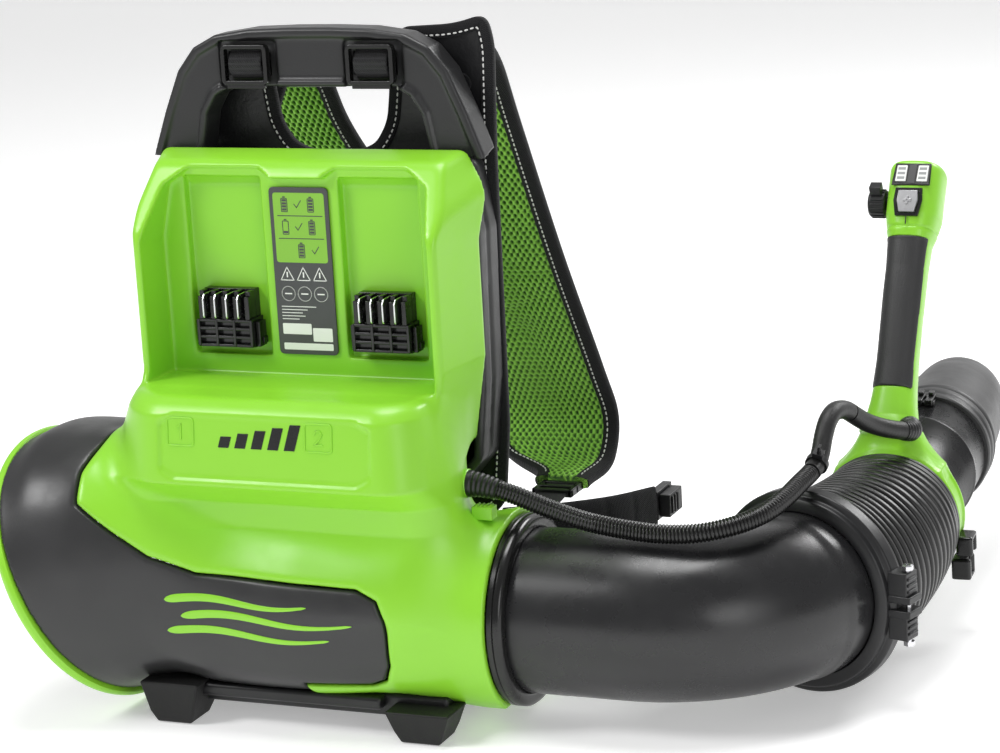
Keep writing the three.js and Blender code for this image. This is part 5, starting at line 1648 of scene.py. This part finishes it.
def tie_strap(at, direction):
    profile = [(-2.4, 7.2), (-2.4, 8.5), (2.4, 8.5), (2.4, 7.2)]
    points, faces = lathe(profile, at, direction, 48)
    tie = Builder().add(points, faces)
    along = unit(direction)
    up = unit(np.array([0.3, -0.3, 1]) - along * np.dot(along, (0.3, -0.3, 1)))
    axes = np.array([along, np.cross(up, along), up])
    tie.box((-3.4, -4, 7.6), (3.4, 4, 12), at=at, axes=axes)
    tie.box((-2.2, -1.0, 11), (2.2, 1.0, 18), at=at, axes=axes)
    return tie.make("cable_tie_look", black_plastic, replaces=["cable_tie"], slot="black_nylon", bevel=0.4)


cord()


# ---------------------------------------------------------------- terminals, plate and marks
TERMINAL_X = 62.5
PLATE = dict(x=23.5, low=264.0, high=387.0, y=64.0)


def terminals(number):
    side = -1 if number == 1 else 1
    at = (side * TERMINAL_X, 0, 0)
    block = Builder()
    block.box((-25.5, 59, 269), (25.5, 73.8, 290.5), at=at)
    for x in (-25.5, -8.9, 7.4, 23.0):
        block.box((x, 54.5, 270), (x + 2.5, 60, 290), at=at)
    for z in (269.6, 275.8, 282.0, 288.0):
        block.box((-25.2, 55, z), (25.2, 60, z + 2.2), at=at)
    for x in (-29.5, 25.8):
        block.box((x, 60, 269.5), (x + 3.7, 70.5, 288), at=at)
        block.box((x + (1.2 if x > 0 else -1.2), 64, 271), (x + 3.7 + (1.2 if x > 0 else -1.2), 70.5, 276),
                  at=at)
    block.box((-23.5, 66.5, 289), (23.5, 73.8, 311), at=at)
    for x in (-23.5, -12.6, -2.0, 8.6, 19.2):
        block.box((x, 55.5, 290), (x + 4.2, 67, 307), at=at)
        block.box((x, 58.5, 306.5), (x + 4.2, 67, 310.6), at=at)
    block.points = [np.asarray(p, float) * (0.88, 1, 1) + (0.12 * at[0], 0, 0) for p in block.points]
    block.make(f"terminal_block_{number}_look", gloss_black, replaces=[f"terminal_block_{number}"],
               slot="black_abs",
               bevel=0.5)
    blades = Builder()
    for x in (-18.0, -7.4, 3.2, 13.8):
        outline = [(50.6, 292), (49.8, 293.5), (49.8, 306), (52.5, 309.5), (67, 309.5), (67, 292)]
        blades.prism(outline, x + 1.6, x + 3.0, lambda u, v, w: (w + at[0], u, v))
    blades.points = [np.asarray(p, float) * (0.88, 1, 1) + (0.12 * at[0], 0, 0) for p in blades.points]
    blades.make(f"terminal_blades_{number}_look", plated_steel, replaces=[f"terminal_blades_{number}"],
                slot="steel",
                bevel=0.25)


def flat_on(y):
    return lambda u, v, w: (u, y - w, v)


def stroke(builder, points, width, place, high):
    """A polyline drawn as short raised bars."""
    for a, b in zip(points, points[1:]):
        a, b = np.array(a, float), np.array(b, float)
        along = unit(b - a)
        side = np.array([-along[1], along[0]]) * width / 2
        a, b = a - along * width / 2, b + along * width / 2
        builder.prism([a - side, b - side, b + side, a + side], 0, high, place)


def battery_sign(builder, x, z, place, level):
    outline_frame(builder, x - 2.6, x + 2.6, z - 5.6, z + 4.6, 0.8, 0.55, place, 0.16)
    builder.prism([(x - 1, z + 4.9), (x + 1, z + 4.9), (x + 1, z + 5.8), (x - 1, z + 5.8)], 0, 0.16, place)
    for k in range(level):
        low = z - 4.5 + 2.2 * k
        builder.prism([(x - 1.7, low), (x + 1.7, low), (x + 1.7, low + 1.6), (x - 1.7, low + 1.6)], 0, 0.16,
                      place)


def guide_plate():
    x, low, high, y = PLATE["x"], PLATE["low"], PLATE["high"], PLATE["y"]
    plate = Builder().prism(rounded_box(-x, x, low, high, 4), -1.6, 0, flat_on(y))
    plate.make("guide_plate_look", plate_dark, replaces=["guide_plate"], slot="printed_plate", bevel=0.4)
    field = Builder().prism(rounded_box(-20.4, 20.4, 332, 383, 2.4), -0.2, 0.1, flat_on(y))
    field.make("plate_field", green_plate, slot="printed_plate")
    signs, place = Builder(), flat_on(y - 0.08)
    for z in (349.6, 366.2):
        signs.prism([(-17.5, z - 0.3), (18.5, z - 0.3), (18.5, z + 0.3), (-17.5, z + 0.3)], 0, 0.16, place)
    for z, left, right in ((374.5, 4, 4), (358, 1, 4), (341, 0, 4)):
        if left:
            battery_sign(signs, -11.5, z, place, left)
        battery_sign(signs, 9.5 if left else 0, z, place, right)
        tick = (-1, z) if left else (11, z)
        stroke(signs, [(tick[0] - 2.6, z + 0.2), (tick[0] - 0.7, z - 2.2), (tick[0] + 2.8, z + 2.8)], 0.6,
               place, 0.16)
    signs.make("plate_signs", plate_dark, slot="printed_plate")
    marks, place = Builder(), flat_on(y)
    for centre in (-13, 0, 13):
        loop = [(centre + 5.3 * math.cos(a), 309 + 5.3 * math.sin(a)) for a in np.linspace(0, 2 * math.pi,
                                                                                           33)[:-1]]
        outer = np.array(loop)
        stroke(marks, [tuple(p) for p in outer] + [tuple(outer[0])], 0.6, place, 0.15)
        triangle = [(centre - 5.2, 319), (centre + 5.2, 319), (centre, 328.5), (centre - 5.2, 319)]
        stroke(marks, triangle, 0.6, place, 0.15)
        stroke(marks, [(centre - 2.4, 309), (centre + 2.4, 309)], 0.9, place, 0.15)
        marks.prism([(centre - 0.5, 321), (centre + 0.5, 321), (centre + 0.5, 325), (centre - 0.5, 325)], 0,
                    0.15, place)
    for k, (start, end) in enumerate(((-19, 8), (-19, 1), (-19, -3), (-19, -1), (-19, -6))):
        z = 299.5 - 2.3 * k
        stroke(marks, [(start, z), (end, z)], 0.55, place, 0.12)
    marks.prism(rounded_box(-19.5, 3.5, 279, 287, 0.8), 0, 0.15, place)
    marks.prism(rounded_box(4.5, 20, 274, 284, 0.8), 0, 0.15, place)
    marks.prism(rounded_box(-19.5, 20, 267.5, 272.5, 0.8), 0, 0.15, place)
    marks.make("plate_print", print_white, slot="printed_plate")


def nose_front(z):
    return float(np.interp(z, NOSE[:, 0], NOSE[:, 2])) + PANEL_DEPTH


def nose_marks():
    """Numbered bay squares and a generic row of level bars in place of lettering."""
    place = lambda u, v, w: (u, nose_front(v) - w + 0.3, v)
    squares = Builder()
    for x, digit in ((-66, 1), (43, 2)):
        outline_frame(squares, x - 11, x + 11, 214, 235, 3.4, 1.1, place, 1.0)
        if digit == 1:
            stroke(squares, [(x - 2.6, 227.5), (x + 0.4, 229.5), (x + 0.4, 219.5)], 1.2, place, 1.0)
        else:
            stroke(squares, [(x - 3, 227.2), (x - 1.4, 229.4), (x + 1.4, 229.4), (x + 2.8, 227.2),
                             (x + 1.6, 224.4),
                             (x - 3, 219.6), (x + 3.2, 219.6)], 1.2, place, 1.0)
    squares.make("bay_numbers", green_plastic, slot="green_abs", bevel=0.3)
    bars = Builder()
    for k in range(5):
        x, high = -36 + 13.0 * k, 8 + 2.6 * k
        lean = 0.28
        outline = [(x, 214.5), (x + 8.4, 214.5), (x + 8.4 + high * lean, 214.5 + high),
                   (x + high * lean, 214.5 + high)]
        bars.prism(outline, -0.6, 0.75, place)
    bars.make("level_bars", gloss_black, slot="black_abs", bevel=0.25)


def cowl_motif():
    """Three green flowing bars, a plain air-flow motif laid on the cowl's own surface."""
    from mathutils.bvhtree import BVHTree
    cowl = bpy.data.objects["cowl_look"].data
    tree = BVHTree.FromPolygons([v.co for v in cowl.vertices], [tuple(p.vertices) for p in cowl.polygons])
    motif = Builder()
    for low, x0, x1, amount in ((100.5, -86, 26, 2.4), (88.5, -74, 60, 2.8), (76.5, -86, 42, 2.4)):
        count = 120
        xs = np.linspace(x0, x1, count)
        rings = []
        for i, x in enumerate(xs):
            share = i / (count - 1)
            centre = low + amount * math.sin(share * 2 * math.pi)
            half = 3.1 * min(1, math.sqrt(max(0.0, 1 - max(0, 1 - share * 12) ** 2))) * (1 - 0.72 * share ** 1.6)
            if share > 0.97:
                half *= math.sqrt(max(0.02, (1 - share) / 0.03))
            half = max(half, 0.25)
            ring = []
            for w, lift in ((-1, -0.5), (-1, 0.25), (-0.86, 0.42), (0, 0.45), (0.86, 0.42), (1, 0.25),
                            (1, -0.5)):
                origin = Vector(to_row((x, -200, centre + w * half)))
                hit = tree.ray_cast(origin, Vector((0, 1, 0)))[0]
                ring.append((x, hit.y * 1000 + REST_Y - lift, centre + w * half))
            rings.append(ring)
        points = np.array(rings)
        faces = grid_faces(count, 7)
        faces += [tuple(range(6, -1, -1)), tuple(range((count - 1) * 7, count * 7))]
        motif.add(points.reshape(-1, 3), faces)
    motif.make("cowl_motif", green_plastic, slot="green_abs", sharp=50)


def base():
    tray = Builder()
    tray.box((-100, 8, 13), (118, 122, 30))
    tray.box((-96, -2, 20), (70, 10, 30))
    tray.make("base_tray_look", black_plastic, slot="black_abs", bevel=3.0)
    feet = Builder()
    for x0, x1, y0, y1, top in ((-114, -76, -14, 22, 32), (82, 122, -12, 22, 24), (-103, -70, 92, 123, 24),
                                (78, 118, 92, 123, 24)):
        low = [(x0 + 5, y0 + 4), (x1 - 5, y0 + 4), (x1 - 5, y1 - 3), (x0 + 5, y1 - 3)]
        mid = [(x0 + 1, y0 + 1), (x1 - 1, y0 + 1), (x1 - 1, y1), (x0 + 1, y1)]
        high = [(x0 - 5, y0 - 1), (x1 + 5, y0 - 1), (x1 + 5, y1), (x0 - 5, y1)]
        points = [(x, y, z) for z, ring in ((0.05, low), (9, mid), (top, high)) for x, y in ring]
        feet.add(points, grid_faces(3, 4) + [(3, 2, 1, 0), (8, 9, 10, 11)])
    feet.make("feet_look", foot_rubber, replaces=["base_tray"], slot="black_abs", bevel=1.6)
    bar = Builder().box((-51.5, 107.5, 0.1), (51.5, 132.5, 9.6))
    for k in range(9):
        bar.box((-48 + 12 * k, 106.6, 1.6), (-44 + 12 * k, 133.2, 8))
    bar.make("rear_rest_look", foot_rubber, replaces=["rear_rest_bar"], slot="rubber", bevel=1.2)


def small_parts():
    profile = [(90, 8.2), (90, 9.6), (112, 10.4), (121.6, 10.4), (123, 9.2), (123, 7.4), (104, 7.2)]
    points, faces = lathe(profile, (0, 60, 175), (1, 0, 0), 48)
    piece("cord_gland_look", points, faces, green_plastic, replaces=["cord_gland"], slot="green_abs",
          sharp=40)
    button = Builder().box((128.2, 46.6, 152), (143.8, 57.4, 161.6))
    for k in range(4):
        button.box((130.4 + 3.4 * k, 47.4, 161), (132 + 3.4 * k, 56.6, 162.6))
    button.make("release_button_look", green_plastic, body="release", replaces=["release_button"],
                slot="green_abs",
                bevel=1.4)
    screw = ELBOW_END + np.array([8.5, -82, 0]) @ COLLAR_AXES
    points, faces = lathe([(-30, 0.1), (-30, 4.2), (-26.6, 4.2), (-26.6, 2), (26.2, 2), (26.2, 4.4),
                           (29, 4.2),
                           (30, 3), (30, 1.6), (28, 1.6), (28, 0.1)], screw, (0, 0, 1), 6, up=(1, 0, 0))
    piece("clamp_screw_look", points, faces, plated_steel, replaces=["collar_clamp_screw"], slot="steel",
          sharp=30)


CAD_FINISH = {
    "green_abs": green_plastic, "grey_cowl": cowl_plastic, "black_abs": black_plastic,
    "black_nylon": black_plastic,
    "tube_plastic": tube_plastic, "hose_rubber": hose_rubber, "grip_rubber": soft_rubber,
    "rubber": foot_rubber,
    "cord_cover": conduit_plastic, "steel": plated_steel, "silver_button": silver_paint,
    "copper_winding": copper,
    "circuit_board": circuit, "printed_plate": plate_dark, "led_lens": led_lens,
    "harness_shell": panel_laminate,
    "green_mesh": spacer_green, "black_webbing": webbing,
}


def finish_cad_nodes():
    """Inner parts keep their CAD shape and take the same finishes as the pieces outside."""
    finishes = {entry["node"]: entry["material_slot"] for entry in frame["record"]["subparts"]}
    for name, node in frame["nodes"].items():
        material = CAD_FINISH[finishes[name]]
        for k in range(len(node.material_slots)):
            node.material_slots[k].link = "OBJECT"
            node.material_slots[k].material = material
        if not node.material_slots:
            node.data.materials.append(material)


terminals(1)
terminals(2)
guide_plate()
nose_marks()
cowl_motif()
base()
small_parts()
finish_cad_nodes()


# ---------------------------------------------------------------- studio
def studio():
    world = bpy.data.worlds.new("studio")
    bpy.context.scene.world = world
    world.use_nodes = True
    background = world.node_tree.nodes["Background"]
    background.inputs["Color"].default_value = (1, 1, 1, 1)
    background.inputs["Strength"].default_value = 0.33
    mesh = bpy.data.meshes.new("floor")
    reach, depth, wall = 6.0, 7.0, 5.0
    profile = [(-depth, 0.0), (depth - 2, 0.0)]
    bend = [(depth - 2 + 2 * math.sin(a), 2 - 2 * math.cos(a)) for a in np.linspace(0.1, math.pi / 2, 12)]
    profile += bend + [(depth, wall)]
    points = [(x, y, z - 0.0005) for y, z in profile for x in (-reach, reach)]
    faces = [(2 * i, 2 * i + 1, 2 * i + 3, 2 * i + 2) for i in range(len(profile) - 1)]
    mesh.from_pydata(points, [], faces)
    mesh.shade_smooth()
    floor = bpy.data.objects.new("floor", mesh)
    bpy.context.scene.collection.objects.link(floor)
    paper = Nodes("paper", (0.93, 0.93, 0.93), 0.8)
    paper.colour(paper.mix(paper.noise(60, 3), (0.90, 0.90, 0.90), (0.94, 0.94, 0.94)))
    paper.set("Emission Color", (1, 1, 1, 1))
    paper.set("Emission Strength", 0.34)
    mesh.materials.append(paper.material)
    floor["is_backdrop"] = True
    lamps = [
        # name, place, aim, size, power
        ("key", (-1.7, -1.6, 2.4), (0, 0, 0.22), 1.1, 46),
        ("fill", (2.3, -1.9, 0.9), (0.1, 0, 0.2), 1.4, 14),
        ("rim", (1.3, 2.2, 1.9), (0.1, 0.1, 0.2), 1.2, 40),
        ("top", (0.1, 0.1, 2.6), (0.1, 0, 0.1), 1.2, 34),
    ]
    for name, place, aim, size, power in lamps:
        light = bpy.data.lights.new(name, "AREA")
        light.shape = "DISK"
        light.size = size
        light.energy = power
        obj = bpy.data.objects.new(name, light)
        bpy.context.scene.collection.objects.link(obj)
        obj.location = place
        obj.rotation_euler = (Vector(aim) - Vector(place)).to_track_quat("-Z", "Y").to_euler()
        obj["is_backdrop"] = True
    view = bpy.context.scene.view_settings
    view.view_transform = "Standard"
    view.look = "None"


studio()

{"cad": CAD_BOX, "scene": [list(corner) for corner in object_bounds()]}
